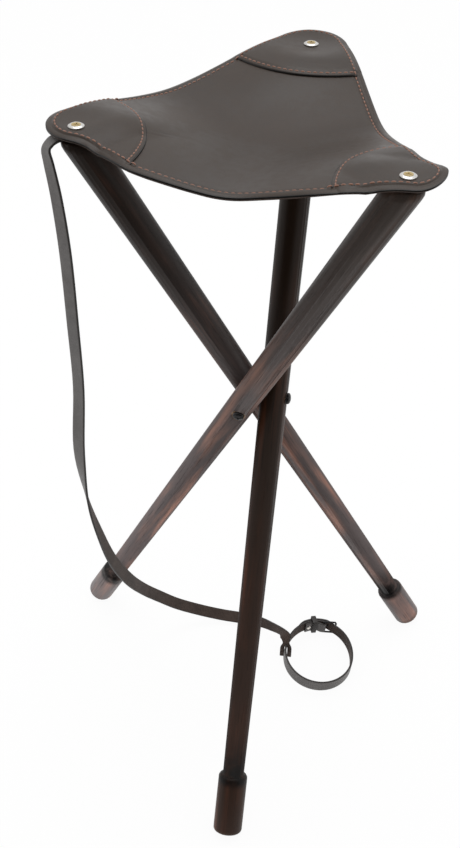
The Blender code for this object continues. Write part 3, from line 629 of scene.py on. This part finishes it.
cornerLegs = {"back": "front_leg", "left": "right_leg", "right": "left_leg"}
for corner, legNode in cornerLegs.items():
    leg = dressNode(legNode, legNode, makeWood(legNode))
    legTop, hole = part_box(legNode)[1].z, middleOf(f"{corner}_seat_screw").xy
    for depth in legSettings["roundedAt"]:  # the top end's outer edge is rounded under the leather
        cut = {"plane_co": (*hole, legTop - depth), "plane_no": (0, 0, 1)}
        editAll(leg, (bpy.ops.mesh.bisect, cut))
    for vert in leg.data.vertices:
        out, depth = vert.co.xy - hole, legTop - vert.co.z
        near = 1 - clamp(depth / legSettings["roundedAt"][0])
        if near and out.length > legSettings["screwHole"]:
            vert.co.xy = hole + out * (1 - legSettings["topRounding"] * (1 - math.sqrt(1 - near * near)))
    smooth(leg, 60)
print("legs dressed")

for boltNode in ("pivot_bolt", "pivot_washer", "pivot_cap_nut", "eye_bolt", "eye_washer", "eye_cap_nut"):
    dressNode(boltNode, "pivot", metals["blackSteel"], bevel=0.00012)

pressSettings = {"share": 0.5, "sink": 0.0003}
for corner, legNode in cornerLegs.items():
    washer = dressNode(f"{corner}_cup_washer", legNode, metals["nickelPlate"], degrees=60)
    screw = dressNode(f"{corner}_seat_screw", legNode, metals["brassScrew"], bevel=0.00008)
    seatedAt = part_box(f"{corner}_cup_washer")[0].z
    for vert in [*washer.data.vertices, *screw.data.vertices]:  # pressed into the leather
        if vert.co.z > seatedAt:
            vert.co.z = seatedAt + (vert.co.z - seatedAt) * pressSettings["share"] - pressSettings["sink"]
buckleFrame = dressNode("buckle_frame", "pivot", metals["blackSteel"], degrees=60)
buckleProng = dressNode("buckle_prong", "buckle_prong", metals["blackSteel"], degrees=60)
chapeRivet = dressNode("chape_rivet", "pivot", metals["rivetNickel"], bevel=0.0001)
strapKeeper = dressNode("strap_keeper", "pivot", edgeDyeAndHoleShade, bevel=0.0005)
print("bolts, screws and buckle dressed")


# Seat: three sectors, one for each leg, that meet along the lines from the middle to the middle of each edge
screws = {corner: middleOf(f"{corner}_seat_screw") for corner in cornerLegs}
stoolAxis = sum((Vector(place.xy) for place in screws.values()), Vector((0, 0))) / 3
seatReach = (screws["left"].xy - stoolAxis).length
cornerTurns = {c: math.atan2(*reversed(tuple(p.xy - stoolAxis))) for c, p in screws.items()}
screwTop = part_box("left_seat_screw")[1].z

seatSettings = {
    "lobes": {  # the rounded corners, from the stool's axis
        "back": {"radius": 0.0360, "centre": 0.1595, "turn": math.radians(0.5)},
        "left": {"radius": 0.0330, "centre": 0.1508, "turn": math.radians(-3.8)},
        "right": {"radius": 0.0255, "centre": 0.1585, "turn": math.radians(3.4)},
    },
    "edgeBow": {"back": -0.011, "left": -0.021, "right": 0.009},  # of the edge after each corner
    "bowSkew": {"back": 1.2, "left": 0.6, "right": 0.42},  # under 1, the bow lies nearer to its first corner
    "bowPower": {"back": 1.6, "left": 1.2, "right": 1.2},
    "bowStart": {"back": 0.14, "left": 0.23, "right": 0.14},  # share of the edge over which its bow sets in
    "endBow": {"back": 0.0, "left": -0.008, "right": 0.0},  # of the edge's last part, on top of its bow
    "endBowSpan": (0.55, 0.45),
    "edgeLength": 0.265,
    "underside": screwTop - 0.0094,  # of the seat leather at its corners
    "thickness": 0.0030,
    "liningThickness": 0.0020,
    "patchThickness": 0.0025,
    "patchEdge": {"back": 0.063, "left": 0.0545, "right": 0.055},
    "patchBulge": 0.024,
    "patchSteps": 40,
    "patchEdgeSteps": 10,
    "droop": {  # how far a corner's leather hangs down past the leg's top, in which direction, and its reach
        "back": ((-0.002, 0.0, 0.03),),
        "left": ((0.007, math.radians(119), 0.09),),
        "right": (
            (0.003, math.radians(120), 0.03),
            (-0.0065, math.radians(40), 0.03),
            (0.0045, math.radians(-100), 0.05),
        ),
    },
    "droopStart": 0.006,
    "droopRun": 0.028,
    "droopFrom": 0.036,
    "cornerFlat": 0.029,
    "cornerDish": 0.0025,
    "dishFlat": 0.008,
    "dishReach": 0.046,
    "edgeSag": 0.0138,
    "bellySag": 0.0175,
    "sagPower": 1.3,
    "lobeSteps": 26,
    "edgeSteps": 26,
    "rimRings": (
        0.0, 0.0004, 0.001, 0.0018, 0.003, 0.0048, 0.0062, 0.0069, 0.0075, 0.0081, 0.0088, 0.0102, 0.0125,
    ),
    "fieldRings": (0.94, 0.88, 0.81, 0.74, 0.66, 0.58, 0.50, 0.42, 0.34, 0.26, 0.18, 0.10, 0.04),
    "fieldDepth": 0.1,
    "stitchInset": 0.0075,
    "rounding": 0.0062,
    "roundDrop": 0.0020,
    "grooveDepth": 0.00055,
    "grooveWidth": 0.0011,
    "bandLift": 0.0004,
    "bandFade": 0.002,
    "thinning": 0.012,  # how far in from a corner's rim the plies get thinner
    "thinNear": 0.085,  # and how near to a screw
    "thinFade": 0.03,
    "topThinning": 0.0005,
    "plyThinning": 0.0013,
    "liningThinning": 0.0018,
    "liningRim": 0.5,
    "plyGap": 0.00005,
    "ripple": 0.0007,
    "rippleScale": 14,
    "rippleFade": 0.05,
    "blendStart": 0.30,
    "blendEnd": 0.86,
}


def seatHeight(x, y):
    # Underside of the seat leather: drawn down at each screw, hanging between them
    s = seatSettings
    rise, lift, nearest = 0.0, s["cornerDish"], seatReach
    flat, dishFlat = s["cornerFlat"], s["dishFlat"]
    spot = Vector((x, y))
    for corner, place in screws.items():
        away = (spot - place.xy).length
        nearest = min(nearest, away)
        for drop, turn, reach in s["droop"][corner]:
            past = (spot - place.xy).dot(plan(1, cornerTurns[corner] + turn))
            ramp = clamp((past - s["droopStart"]) / s["droopRun"]) ** 2
            lift -= drop * ramp * (1 - clamp((away - s["droopFrom"]) / reach)) ** 1.5
        share = clamp((away - flat) / (seatReach - flat))
        rise += 1 - math.sin(share * math.pi / 2) ** s["sagPower"]
        climb = clamp((away - dishFlat) / (s["dishReach"] - dishFlat))
        lift -= s["cornerDish"] * (1 - climb**2) ** 2
    out = (spot - stoolAxis).length_squared / seatReach**2
    hang = (1 - min(rise, 1.0)) * (s["edgeSag"] + s["bellySag"] * (1 - out))
    ripple = noise.noise(Vector((x * s["rippleScale"], y * s["rippleScale"], 0.4)))
    ripple *= clamp((nearest - flat) / s["rippleFade"])
    return s["underside"] + lift - hang + ripple * s["ripple"]


def lobePoints(corner, steps):
    lobe = seatSettings["lobes"][corner]
    turn = cornerTurns[corner] + lobe["turn"]
    centre = stoolAxis + plan(lobe["centre"], turn)
    angles = [turn + third * (step / steps - 0.5) for step in range(steps + 1)]
    return [centre + plan(lobe["radius"], angle) for angle in angles]


cornerBefore = {"left": "back", "right": "left", "back": "right"}
cornerAfter = {before: corner for corner, before in cornerBefore.items()}


def edgePoint(corner, share):
    s = seatSettings
    start, end = lobePoints(corner, 1)[-1], lobePoints(cornerAfter[corner], 1)[0]
    inward = plan(-1, cornerTurns[corner] + third / 2)
    bow = abs(math.sin(math.pi * share ** s["bowSkew"][corner])) ** s["bowPower"][corner]
    bow *= math.sin(math.pi / 2 * clamp(share / s["bowStart"][corner])) ** 2
    lateFrom, lateRun = s["endBowSpan"]
    late = math.sin(math.pi * clamp((share - lateFrom) / lateRun)) ** 2 * s["endBow"][corner]
    return start.lerp(end, share) + inward * (s["edgeBow"][corner] * bow + late)


def roundCorner(corner, reach, steps):
    # Along the edge before the corner, round its lobe and along the edge after it
    shares = [reach * step / steps for step in range(1, steps + 1)]
    before = [edgePoint(cornerBefore[corner], 1 - share) for share in reversed(shares)]
    after = [edgePoint(corner, share) for share in shares]
    return before + lobePoints(corner, seatSettings["lobeSteps"]) + after


def sectorOutline(corner):
    return roundCorner(corner, 0.5, seatSettings["edgeSteps"])


def inwardNormals(corner, outline):
    turn = cornerTurns[corner]
    normals = []
    for i in range(len(outline)):
        run = outline[min(i + 1, len(outline) - 1)] - outline[max(i - 1, 0)]
        normals.append(Vector((-run.y, run.x)).normalized())
    normals[0], normals[-1] = plan(-1, turn - third / 2), plan(-1, turn + third / 2)
    return normals


def thinned(point, distance):
    near = min((point - place.xy).length for place in screws.values())
    inward = clamp((seatSettings["thinNear"] - near) / seatSettings["thinFade"])
    return inward * (1 - clamp(distance / seatSettings["thinning"])) ** 2


def rimShape(distance, stitchAt):
    # The rounded rim, the band outside the stitches and the groove that they pull in
    s = seatSettings
    lift = -s["roundDrop"] * (1 - clamp(distance / s["rounding"])) ** 2
    lift += s["bandLift"] * clamp((stitchAt - distance) / s["bandFade"])
    return lift - s["grooveDepth"] * math.exp(-(((distance - stitchAt) / s["grooveWidth"]) ** 2))


def sectorRings(corner):
    # Plan points from the rim to the middle, and each ring's distance from the rim
    outline = sectorOutline(corner)
    normals = inwardNormals(corner, outline)
    rings = []
    for inset in seatSettings["rimRings"]:
        rings.append((inset, [p + n * inset for p, n in zip(outline, normals)]))
    last, inner = rings[-1]
    for share in seatSettings["fieldRings"]:
        depth = last + seatSettings["fieldDepth"] * (1 - share)
        rings.append((depth, [stoolAxis + (p - stoolAxis) * share for p in inner]))
    return rings


def closeSlab(bm, tops, bottoms, middleTop, middleBottom, closed):
    # Faces over the top, under the bottom, round the rim and, on an open sector, down its two sides
    count = len(tops[0])
    spans = [(i, (i + 1) % count) for i in range(count if closed else count - 1)]
    for i, j in spans:
        for outer, inner in zip(tops, tops[1:]):
            bm.faces.new((outer[i], outer[j], inner[j], inner[i]))
        for outer, inner in zip(bottoms, bottoms[1:]):
            bm.faces.new((outer[j], outer[i], inner[i], inner[j]))
        bm.faces.new((bottoms[0][i], bottoms[0][j], tops[0][j], tops[0][i]))
        bm.faces.new((tops[-1][i], tops[-1][j], middleTop))
        bm.faces.new((bottoms[-1][j], bottoms[-1][i], middleBottom))
    if closed:
        return
    for k in range(len(tops) - 1):
        bm.faces.new((tops[k][0], tops[k + 1][0], bottoms[k + 1][0], bottoms[k][0]))
        bm.faces.new((tops[k + 1][-1], tops[k][-1], bottoms[k][-1], bottoms[k + 1][-1]))
    bm.faces.new((tops[-1][0], middleTop, middleBottom, bottoms[-1][0]))
    bm.faces.new((middleTop, tops[-1][-1], bottoms[-1][-1], middleBottom))


def makeSlab(name, rings, middle, topOf, bottomOf, closed, finish):
    bm = bmesh.new()
    distances = []
    layers = []
    for heightOf in (topOf, bottomOf):
        rows = []
        for inset, points in rings:
            rows.append([bm.verts.new((p.x, p.y, heightOf(p, d))) for p, d in zip(points, inset)])
            distances.extend(inset)
        centre = bm.verts.new((middle.x, middle.y, heightOf(middle, 1.0)))
        distances.append(1.0)
        layers.append((rows, centre))
    (tops, middleTop), (bottoms, middleBottom) = layers
    closeSlab(bm, tops, bottoms, middleTop, middleBottom, closed)
    bmesh.ops.recalc_face_normals(bm, faces=bm.faces)
    piece = newPiece(name, bm, finish)
    piece.data.attributes.new("rimDistance", "FLOAT", "POINT").data.foreach_set("value", distances)
    smooth(piece, 50)
    return piece


def seatTop(point, distance):
    thick = seatSettings["thickness"] + seatSettings["topThinning"] * thinned(point, distance)
    return seatHeight(*point) + thick + rimShape(distance, seatSettings["stitchInset"])


def betweenPlies(point, distance):
    return seatHeight(*point) + seatSettings["plyThinning"] * thinned(point, distance)


def seatUnder(point, distance):
    return betweenPlies(point, distance) + seatSettings["plyGap"]


def liningTop(point, distance):
    return betweenPlies(point, distance) - seatSettings["plyGap"]


def liningUnder(point, distance):
    s = seatSettings
    lift = s["liningThinning"] * thinned(point, distance)
    lift -= s["liningRim"] * rimShape(distance, s["stitchInset"])
    return seatHeight(*point) - s["liningThickness"] + lift


def patchReach(corner):
    return seatSettings["patchEdge"][corner] / seatSettings["edgeLength"]


def patchInner(corner):
    # The patch's curved inner edge, from the edge after the corner to the edge before it
    reach, steps = patchReach(corner), seatSettings["patchSteps"]
    start, end = edgePoint(corner, reach), edgePoint(cornerBefore[corner], 1 - reach)
    points = []
    for share in [step / steps for step in range(steps + 1)]:
        bulge = plan(-seatSettings["patchBulge"], cornerTurns[corner]) * 4 * share * (1 - share)
        points.append(start.lerp(end, share) + bulge)
    return points


def patchOuter(corner):
    return roundCorner(corner, patchReach(corner), seatSettings["patchEdgeSteps"])


def lineDistance(point, line):
    best = 1.0
    for start, end in zip(line, line[1:]):
        run = end - start
        share = clamp((point - start).dot(run) / run.length_squared)
        best = min(best, (point - start - run * share).length)
    return best


patchSettings = {
    "stitchInset": 0.0034,  # from the patch's inner edge
    "skived": 0.0048,  # from the rim, the part that is thin
    "skiveRun": 0.0024,
    "skivedShare": 0.04,
    "least": 0.0003,
    "rings": (
        *(1.0, 0.985, 0.965, 0.94, 0.91, 0.88, 0.85, 0.82, 0.79, 0.76),
        *(0.73, 0.70, 0.66, 0.60, 0.52, 0.42, 0.3, 0.16),
    ),
}


def makePatch(corner):
    s, seat = patchSettings, seatSettings
    outer, inner = patchOuter(corner), patchInner(corner)
    centre = screws[corner].xy
    found = {}

    def distances(p):
        key = (round(p.x, 7), round(p.y, 7))
        if key not in found:
            found[key] = lineDistance(p, outer), lineDistance(p, inner)
        return found[key]

    def top(p, d):
        toOuter, toInner = distances(p)
        lift = rimShape(toOuter, seat["stitchInset"]) + rimShape(toInner, s["stitchInset"])
        seated = clamp((toOuter - s["skived"]) / s["skiveRun"])  # skived thin outside the rim's stitches
        share = s["skivedShare"] + (1 - s["skivedShare"]) * seated * seated * (3 - 2 * seated)
        thick = s["least"] + seat["patchThickness"] * share
        return seatHeight(*p) + seat["thickness"] + thick + lift + seat["topThinning"] * thinned(p, toOuter)

    def under(p, d):
        return seatTop(p, distances(p)[0]) + seat["plyGap"]

    rings = []
    for share in s["rings"]:
        points = [centre + (p - centre) * share for p in outer + inner[1:-1]]
        rings.append(([min(distances(p)) for p in points], points))
    piece = makeSlab(f"{corner}Patch", rings, centre, top, under, True, seatHide)
    return piece, top


def followLeg(piece):
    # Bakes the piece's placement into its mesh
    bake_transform(piece)


def polygonArea(points):
    return abs(sum(a.x * b.y - b.x * a.y for a, b in zip(points, points[1:] + points[:1]))) / 2


patchTops = {}
for corner in cornerTurns:
    rings = [([inset] * len(points), points) for inset, points in sectorRings(corner)]
    sector = makeSlab(f"{corner}Seat", rings, stoolAxis, seatTop, seatUnder, False, seatHide)
    lining = makeSlab(f"{corner}Lining", rings, stoolAxis, liningTop, liningUnder, False, strapFlesh)
    patch, patchTops[corner] = makePatch(corner)
    legNode = cornerLegs[corner]
    sectorArea = polygonArea(sectorOutline(corner) + [stoolAxis])
    patchArea = polygonArea(patchOuter(corner) + patchInner(corner)[1:-1])
    for piece, node, area, wide, long in (
        (sector, "seat_leather", sectorArea, 0.175, 0.19),
        (lining, "seat_lining", sectorArea, 0.175, 0.19),
        (patch, f"{corner}_corner_patch", patchArea, 0.13, 0.082),
    ):
        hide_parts(node)
        followLeg(piece)
print("seat, lining and patches made")


# Stitches: one short thread, copied along the rim and along each patch's inner edge
stitchSettings = {
    "pitch": 0.0054,
    "length": 0.0047,
    "radius": 0.00076,
    "sink": 0.0007,
    "raise": 0.00012,
    # size and lift of the dark bead of painted shade in each stitch hole
    "hole": 0.00085,
    "holeShape": (0.8, 1, 0.16),
    "holeRaise": 0.00002,
    "onPatch": 0.0003,  # past the rim's stitches, still on the patch
    "clear": 0.0005,
}


def beadMesh(ringCount, radius, *edits):
    deselectAll()
    bpy.ops.mesh.primitive_uv_sphere_add(segments=8, ring_count=ringCount, radius=radius)
    bead = bpy.context.object
    editAll(bead, *edits)
    mesh = bead.data
    bpy.data.objects.remove(bead)
    return mesh


def resized(value):
    return bpy.ops.transform.resize, {"value": value, "center_override": (0, 0, 0)}


def makeThreadMesh():
    half, radius = stitchSettings["length"] / 2, stitchSettings["radius"]
    turn = {"value": math.pi / 2, "orient_axis": "Y", "center_override": (0, 0, 0)}
    mesh = beadMesh(6, 1, (bpy.ops.transform.rotate, turn), resized((half, radius, radius)))
    for vert in mesh.vertices:  # the ends dive into the leather
        vert.co.z -= stitchSettings["sink"] * (vert.co.x / half) ** 4
    return mesh


def makeHoleShadeMesh():
    # Painted shade in the hole between two stitches, as a shallow dark bead set in the leather
    mesh = beadMesh(4, stitchSettings["hole"], resized(stitchSettings["holeShape"]))
    for face in mesh.polygons:
        face.material_index = 1
    return mesh


def spaced(line, pitch):
    lengths = [0.0]
    for start, end in zip(line, line[1:]):
        lengths.append(lengths[-1] + (end - start).length)
    count = max(int(lengths[-1] / pitch), 1)
    found, k = [], 0
    for step in range(count):
        at = lengths[-1] * (step + 0.5) / count
        while lengths[k + 1] < at:
            k += 1
        run = line[k + 1] - line[k]
        share = (at - lengths[k]) / (lengths[k + 1] - lengths[k])
        found.append((line[k] + run * share, run.normalized()))
    return found


def layCopy(bm, template, spot, run, heightOf, upward, lift):
    half = stitchSettings["length"] / 2
    low, high = (Vector((*p, heightOf(p))) for p in (spot - run * half, spot + run * half))
    along = (high - low).normalized()
    side = Vector((0, 0, upward)).cross(along).normalized()
    turn = Matrix((along, side, along.cross(side))).transposed().to_4x4()
    turn.translation = Vector((*spot, heightOf(spot) + upward * lift))
    before = len(bm.verts)
    bm.from_mesh(template)
    bm.verts.ensure_lookup_table()
    bmesh.ops.transform(bm, matrix=turn, verts=bm.verts[before:])


def sewAlong(bm, line, heightOf, upward):
    for spot, run in spaced(line, stitchSettings["pitch"]):
        layCopy(bm, threadMesh, spot, run, heightOf, upward, stitchSettings["raise"])
        between = spot + run * stitchSettings["pitch"] / 2
        # a dark bead of painted shade between the stitches
        layCopy(bm, holeShadeMesh, between, run, heightOf, upward, stitchSettings["holeRaise"])


threadMesh = makeThreadMesh()
holeShadeMesh = makeHoleShadeMesh()
for corner in cornerTurns:
    patchTop, patchRim, inset = patchTops[corner], patchOuter(corner), seatSettings["stitchInset"]

    def rimTop(p):
        onPatch = lineDistance(p, patchRim) < inset + stitchSettings["onPatch"]
        return patchTop(p, 0) if onPatch else seatTop(p, inset)

    outline, inner = sectorOutline(corner), patchInner(corner)
    rimLine = [p + n * inset for p, n in zip(outline, inwardNormals(corner, outline))]
    sewn = []
    for i in range(1, len(inner) - 1):
        run = inner[i + 1] - inner[i - 1]
        sewn.append(inner[i] + Vector((-run.y, run.x)).normalized() * patchSettings["stitchInset"])
    sewn = [p for p in sewn if lineDistance(p, patchRim) > inset - stitchSettings["clear"]]
    bm = bmesh.new()
    sewAlong(bm, rimLine, rimTop, 1)
    sewAlong(bm, rimLine, lambda p: liningUnder(p, inset), -1)
    sewAlong(bm, sewn, lambda p: patchTop(p, 0), 1)
    sewAlong(bm, sewn, lambda p: liningUnder(p, 1.0), -1)
    stitches = newPiece(f"{corner}Stitching", bm, copperThread, edgeDyeAndHoleShade)
    smooth(stitches, 80)
    followLeg(stitches)
bpy.data.meshes.remove(threadMesh)
bpy.data.meshes.remove(holeShadeMesh)
print("stitching sewn")


# Straps: one sheet along the route, given its thickness, with grain, flesh and dyed edges
strapSettings = {
    "width": 0.014,
    "thickness": 0.0022,
    "soften": 0.00055,
    "top": screwTop - 0.0131,
    "exitTurn": math.radians(215),
    "aside": -0.005,
    "steps": 6,
}
strapExit = plan(1, strapSettings["exitTurn"])
acrossExit = (-strapExit.y, strapExit.x, 0.0)
overCorner = ((-0.013, 0.0), (0.0, 0.0), (0.012, 0.0), (0.0175, -0.0007), (0.0222, -0.0034))
strapRoute = (  # from the left seat screw in plan and from the floor in height, with the width's direction
    (-0.0240, -0.0106, 0.6908, 0.70, -0.68, 0.20),
    (-0.0214, -0.0134, 0.6795, 0.78, -0.58, 0.23),
    (-0.0140, -0.0224, 0.6519, 0.85, -0.52, 0.09),
    (-0.0081, -0.0285, 0.6033, 0.88, -0.47, 0.05),
    (-0.0055, -0.0315, 0.5364, 0.88, -0.48, 0.01),
    (-0.0046, -0.0315, 0.4656, 0.86, -0.51, -0.02),
    (-0.0092, -0.0305, 0.3897, 0.88, -0.47, -0.03),
    (-0.0062, -0.0256, 0.3239, 0.39, -0.92, -0.07),
    (0.0016, -0.0160, 0.2682, 0.05, -0.97, -0.24),
    (0.0072, 0.0050, 0.2126, -0.12, -0.90, -0.42),
    (0.0135, 0.0405, 0.1518, -0.23, -0.80, -0.55),
    (0.0205, 0.0785, 0.0992, -0.12, -0.79, -0.60),
    (0.0345, 0.1035, 0.0640, -0.07, -0.81, -0.59),
    (0.0515, 0.1190, 0.0400, -0.01, -0.83, -0.56),
    (0.0758, 0.1325, 0.0205, 0.02, -0.84, -0.54),
    (0.1033, 0.1385, 0.0110, -0.02, -0.82, -0.57),
    (0.1292, 0.1392, 0.0095, -0.03, -0.66, -0.75),
    (0.1535, 0.1353, 0.0110, 0.0, -0.25, -0.97),
    (0.1703, 0.1256, 0.0155, -0.15, 0.0, -0.98),
    (0.1815, 0.1135, 0.0235, -0.45, 0.10, -0.88),
    (0.1880, 0.1035, 0.0290, -0.80, 0.10, -0.55),
    (0.1905, 0.0965, 0.0250, -0.98, 0.02, -0.15),
    (0.1910, 0.0945, 0.0140, -1.0, 0.0, 0.0),
    (0.1910, 0.0940, 0.0020, -1.0, 0.0, 0.0),
)


def smoothThrough(points, steps):
    vectors = [Vector(point) for point in points]
    ends = [vectors[0] * 2 - vectors[1]] + vectors + [vectors[-1] * 2 - vectors[-2]]
    curve = []
    for before, start, end, after in zip(ends, ends[1:], ends[2:], ends[3:]):
        for step in range(steps):
            t = step / steps
            bend = (end - before) * t + (before * 2 - start * 5 + end * 4 - after) * t**2
            bend += (start * 3 - before - end * 3 + after) * t**3
            curve.append(start + bend / 2)
    return curve + [vectors[-1]]


def makeStrap(name, rows, openFaces=()):
    bm = bmesh.new()
    verts = [[bm.verts.new(point) for point in row] for row in rows]
    for k in range(len(rows) - 1):
        for c in range(len(rows[0]) - 1):
            if (k, c) not in openFaces:
                bm.faces.new((verts[k][c], verts[k][c + 1], verts[k + 1][c + 1], verts[k + 1][c]))
    piece = newPiece(name, bm, strapFlesh, strapHide, edgeDyeAndHoleShade)
    sides = {"material_offset": 1, "material_offset_rim": 2}
    modify(piece, "SOLIDIFY", thickness=strapSettings["thickness"], offset=0, use_even_offset=True, **sides)
    addBevel(piece, strapSettings["soften"], 50, material=2)
    applyAll(piece)
    smooth(piece, 40)
    return piece


def strapSpot(reach):
    return screws["left"].xy + strapExit * reach + Vector(acrossExit[:2]) * strapSettings["aside"]


def carryStations():
    anchor = screws["left"]
    places, widths = [], []
    for reach, drop in overCorner:
        spot = strapSpot(reach)
        places.append((spot.x, spot.y, strapSettings["top"] + drop))
        widths.append(acrossExit)
    for x, y, z, *width in strapRoute:
        places.append((anchor.x + x, anchor.y + y, z))
        widths.append(width)
    return [smoothThrough(line, strapSettings["steps"]) for line in (places, widths)]


carryColumns = (-1.0, -0.72, -0.26, 0.26, 0.72, 1.0)
slitSettings = {  # at the strap's end
    "rows": 15,
    "top": 0.0195,
    "pinchAt": 0.0235,
    "pinchReach": 0.0045,
    "pinch": 0.42,
}


def makeCarryStrap():
    middles, widths = carryStations()
    ending = len(middles) - slitSettings["rows"]
    rows = []
    for k, (middle, width) in enumerate(zip(middles, widths)):
        half = width.normalized() * strapSettings["width"] / 2
        if k >= ending:
            away = (middle.z - slitSettings["pinchAt"]) / slitSettings["pinchReach"]
            half *= 1 - slitSettings["pinch"] * math.exp(-away * away)
        rows.append([middle + half * column for column in carryColumns])
    slit = {(k, 2) for k in range(ending, len(rows)) if middles[k].z < slitSettings["top"]}
    strap = makeStrap("carryStrap", rows, slit)
    return strap, middles


carryStrap, carryLine = makeCarryStrap()
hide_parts("carry_strap")

# Buckle strap: a leaning loop with a folded end and a tail
loopSettings = {
    "wide": 0.0405,
    "deep": 0.052,
    "deepNear": 0.0465,  # on the side towards the front
    "centre": (0.0835, 0.030),  # from the stool's axis
    "lean": math.radians(5.6),
    "floorGap": 0.001,
    "layer": 0.0027,
    "foldRadius": 0.0026,
    "foldLength": 0.025,
    "foldOpens": 0.009,
    "foldOpen": 0.003,
    "margin": 0.004,
    "tail": 0.030,
    "holesAt": (62, 36),
    "holeRadius": 0.0012,
    "holeDepth": 0.0024,
    "tip": {0: 0.34, 1: 0.70, 2: 0.89, 3: 0.98},  # the tail's rounded end, from its last row
    "frameReach": 0.014,
    "foldSteps": 9,
    "turnSteps": 12,
    "roundSteps": 96,
    "tailSteps": 20,
}


def loopFrame():
    s = loopSettings
    rightEnd = Vector((stoolAxis.x + s["centre"][0] + s["wide"], stoolAxis.y + s["centre"][1], s["floorGap"]))
    lean = Matrix.Rotation(s["lean"], 4, "Y")
    return Matrix.Translation(rightEnd) @ lean @ Matrix.Translation((-s["wide"], 0, 0))


def loopPoint(angle, offset=0.0):
    wide, deep = loopSettings["wide"], loopSettings["deep" if math.sin(angle) > 0 else "deepNear"]
    outward = Vector((math.cos(angle) / wide, math.sin(angle) / deep)).normalized()
    return Vector((wide * math.cos(angle), deep * math.sin(angle))) + outward * offset


def pastBar(distance):
    return math.pi / 2 + distance / loopSettings["wide"]


def loopRoute():
    s = loopSettings
    route = []
    for step in range(s["foldSteps"] + 1):
        distance = s["foldLength"] + (s["foldOpen"] - s["foldLength"]) * step / s["foldSteps"]
        spread = clamp((s["foldOpens"] - distance) / (s["foldOpens"] - s["foldOpen"]))
        route.append(loopPoint(pastBar(distance), -s["layer"] - spread * (2 * s["foldRadius"] - s["layer"])))
    for step in range(s["turnSteps"] + 1):
        angle = math.radians(-90 + 180 * step / s["turnSteps"])
        side, out = s["foldRadius"] * math.cos(angle), s["foldRadius"] * (math.sin(angle) - 1)
        route.append(loopPoint(pastBar(-side), out))
    start, end = pastBar(s["margin"]), pastBar(-s["frameReach"] - s["margin"]) + 2 * math.pi
    for step in range(s["roundSteps"] + 1):
        route.append(loopPoint(start + (end - start) * step / s["roundSteps"]))
    for step in range(s["tailSteps"] + 1):
        distance = -s["frameReach"] + (s["tail"] + s["frameReach"]) * step / s["tailSteps"]
        climb = clamp((distance + s["frameReach"]) / (s["frameReach"] - s["foldOpen"]))
        route.append(loopPoint(pastBar(distance), s["layer"] * climb))
    return route


def punchedHoleShade(place, angle):
    # One of the holes for the prong, as a dark plug of painted shade
    middle, outer = loopPoint(angle), loopPoint(angle, 0.001)
    toward = place.to_3x3() @ Vector((*(outer - middle), 0))
    deselectAll()
    bpy.ops.mesh.primitive_cylinder_add(
        vertices=16,
        radius=loopSettings["holeRadius"],
        depth=loopSettings["holeDepth"],
        location=place @ Vector((*middle, strapSettings["width"] / 2)),
        rotation=toward.to_track_quat("Z", "Y").to_euler(),
    )
    hole = bpy.context.object
    bpy.ops.object.transform_apply(location=True, rotation=True, scale=True)
    hole.data.materials.append(edgeDyeAndHoleShade)
    return hole


def makeBuckleStrap():
    place, route, wide = loopFrame(), loopRoute(), strapSettings["width"]
    rows = []
    for k, p in enumerate(route):
        full = loopSettings["tip"].get(len(route) - 1 - k, 1.0)
        rows.append([place @ Vector((p.x, p.y, wide * (full * column + 1) / 2)) for column in carryColumns])
    strap = makeStrap("buckleStrap", rows)
    holeShadePlugs = [punchedHoleShade(place, math.radians(degrees)) for degrees in loopSettings["holesAt"]]
    only(strap)
    for hole in holeShadePlugs:
        hole.select_set(True)
    bpy.ops.object.join()
    return strap


buckleStrap = makeBuckleStrap()
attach(buckleStrap, "pivot")
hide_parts("buckle_strap")

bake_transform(carryStrap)
print("straps made")
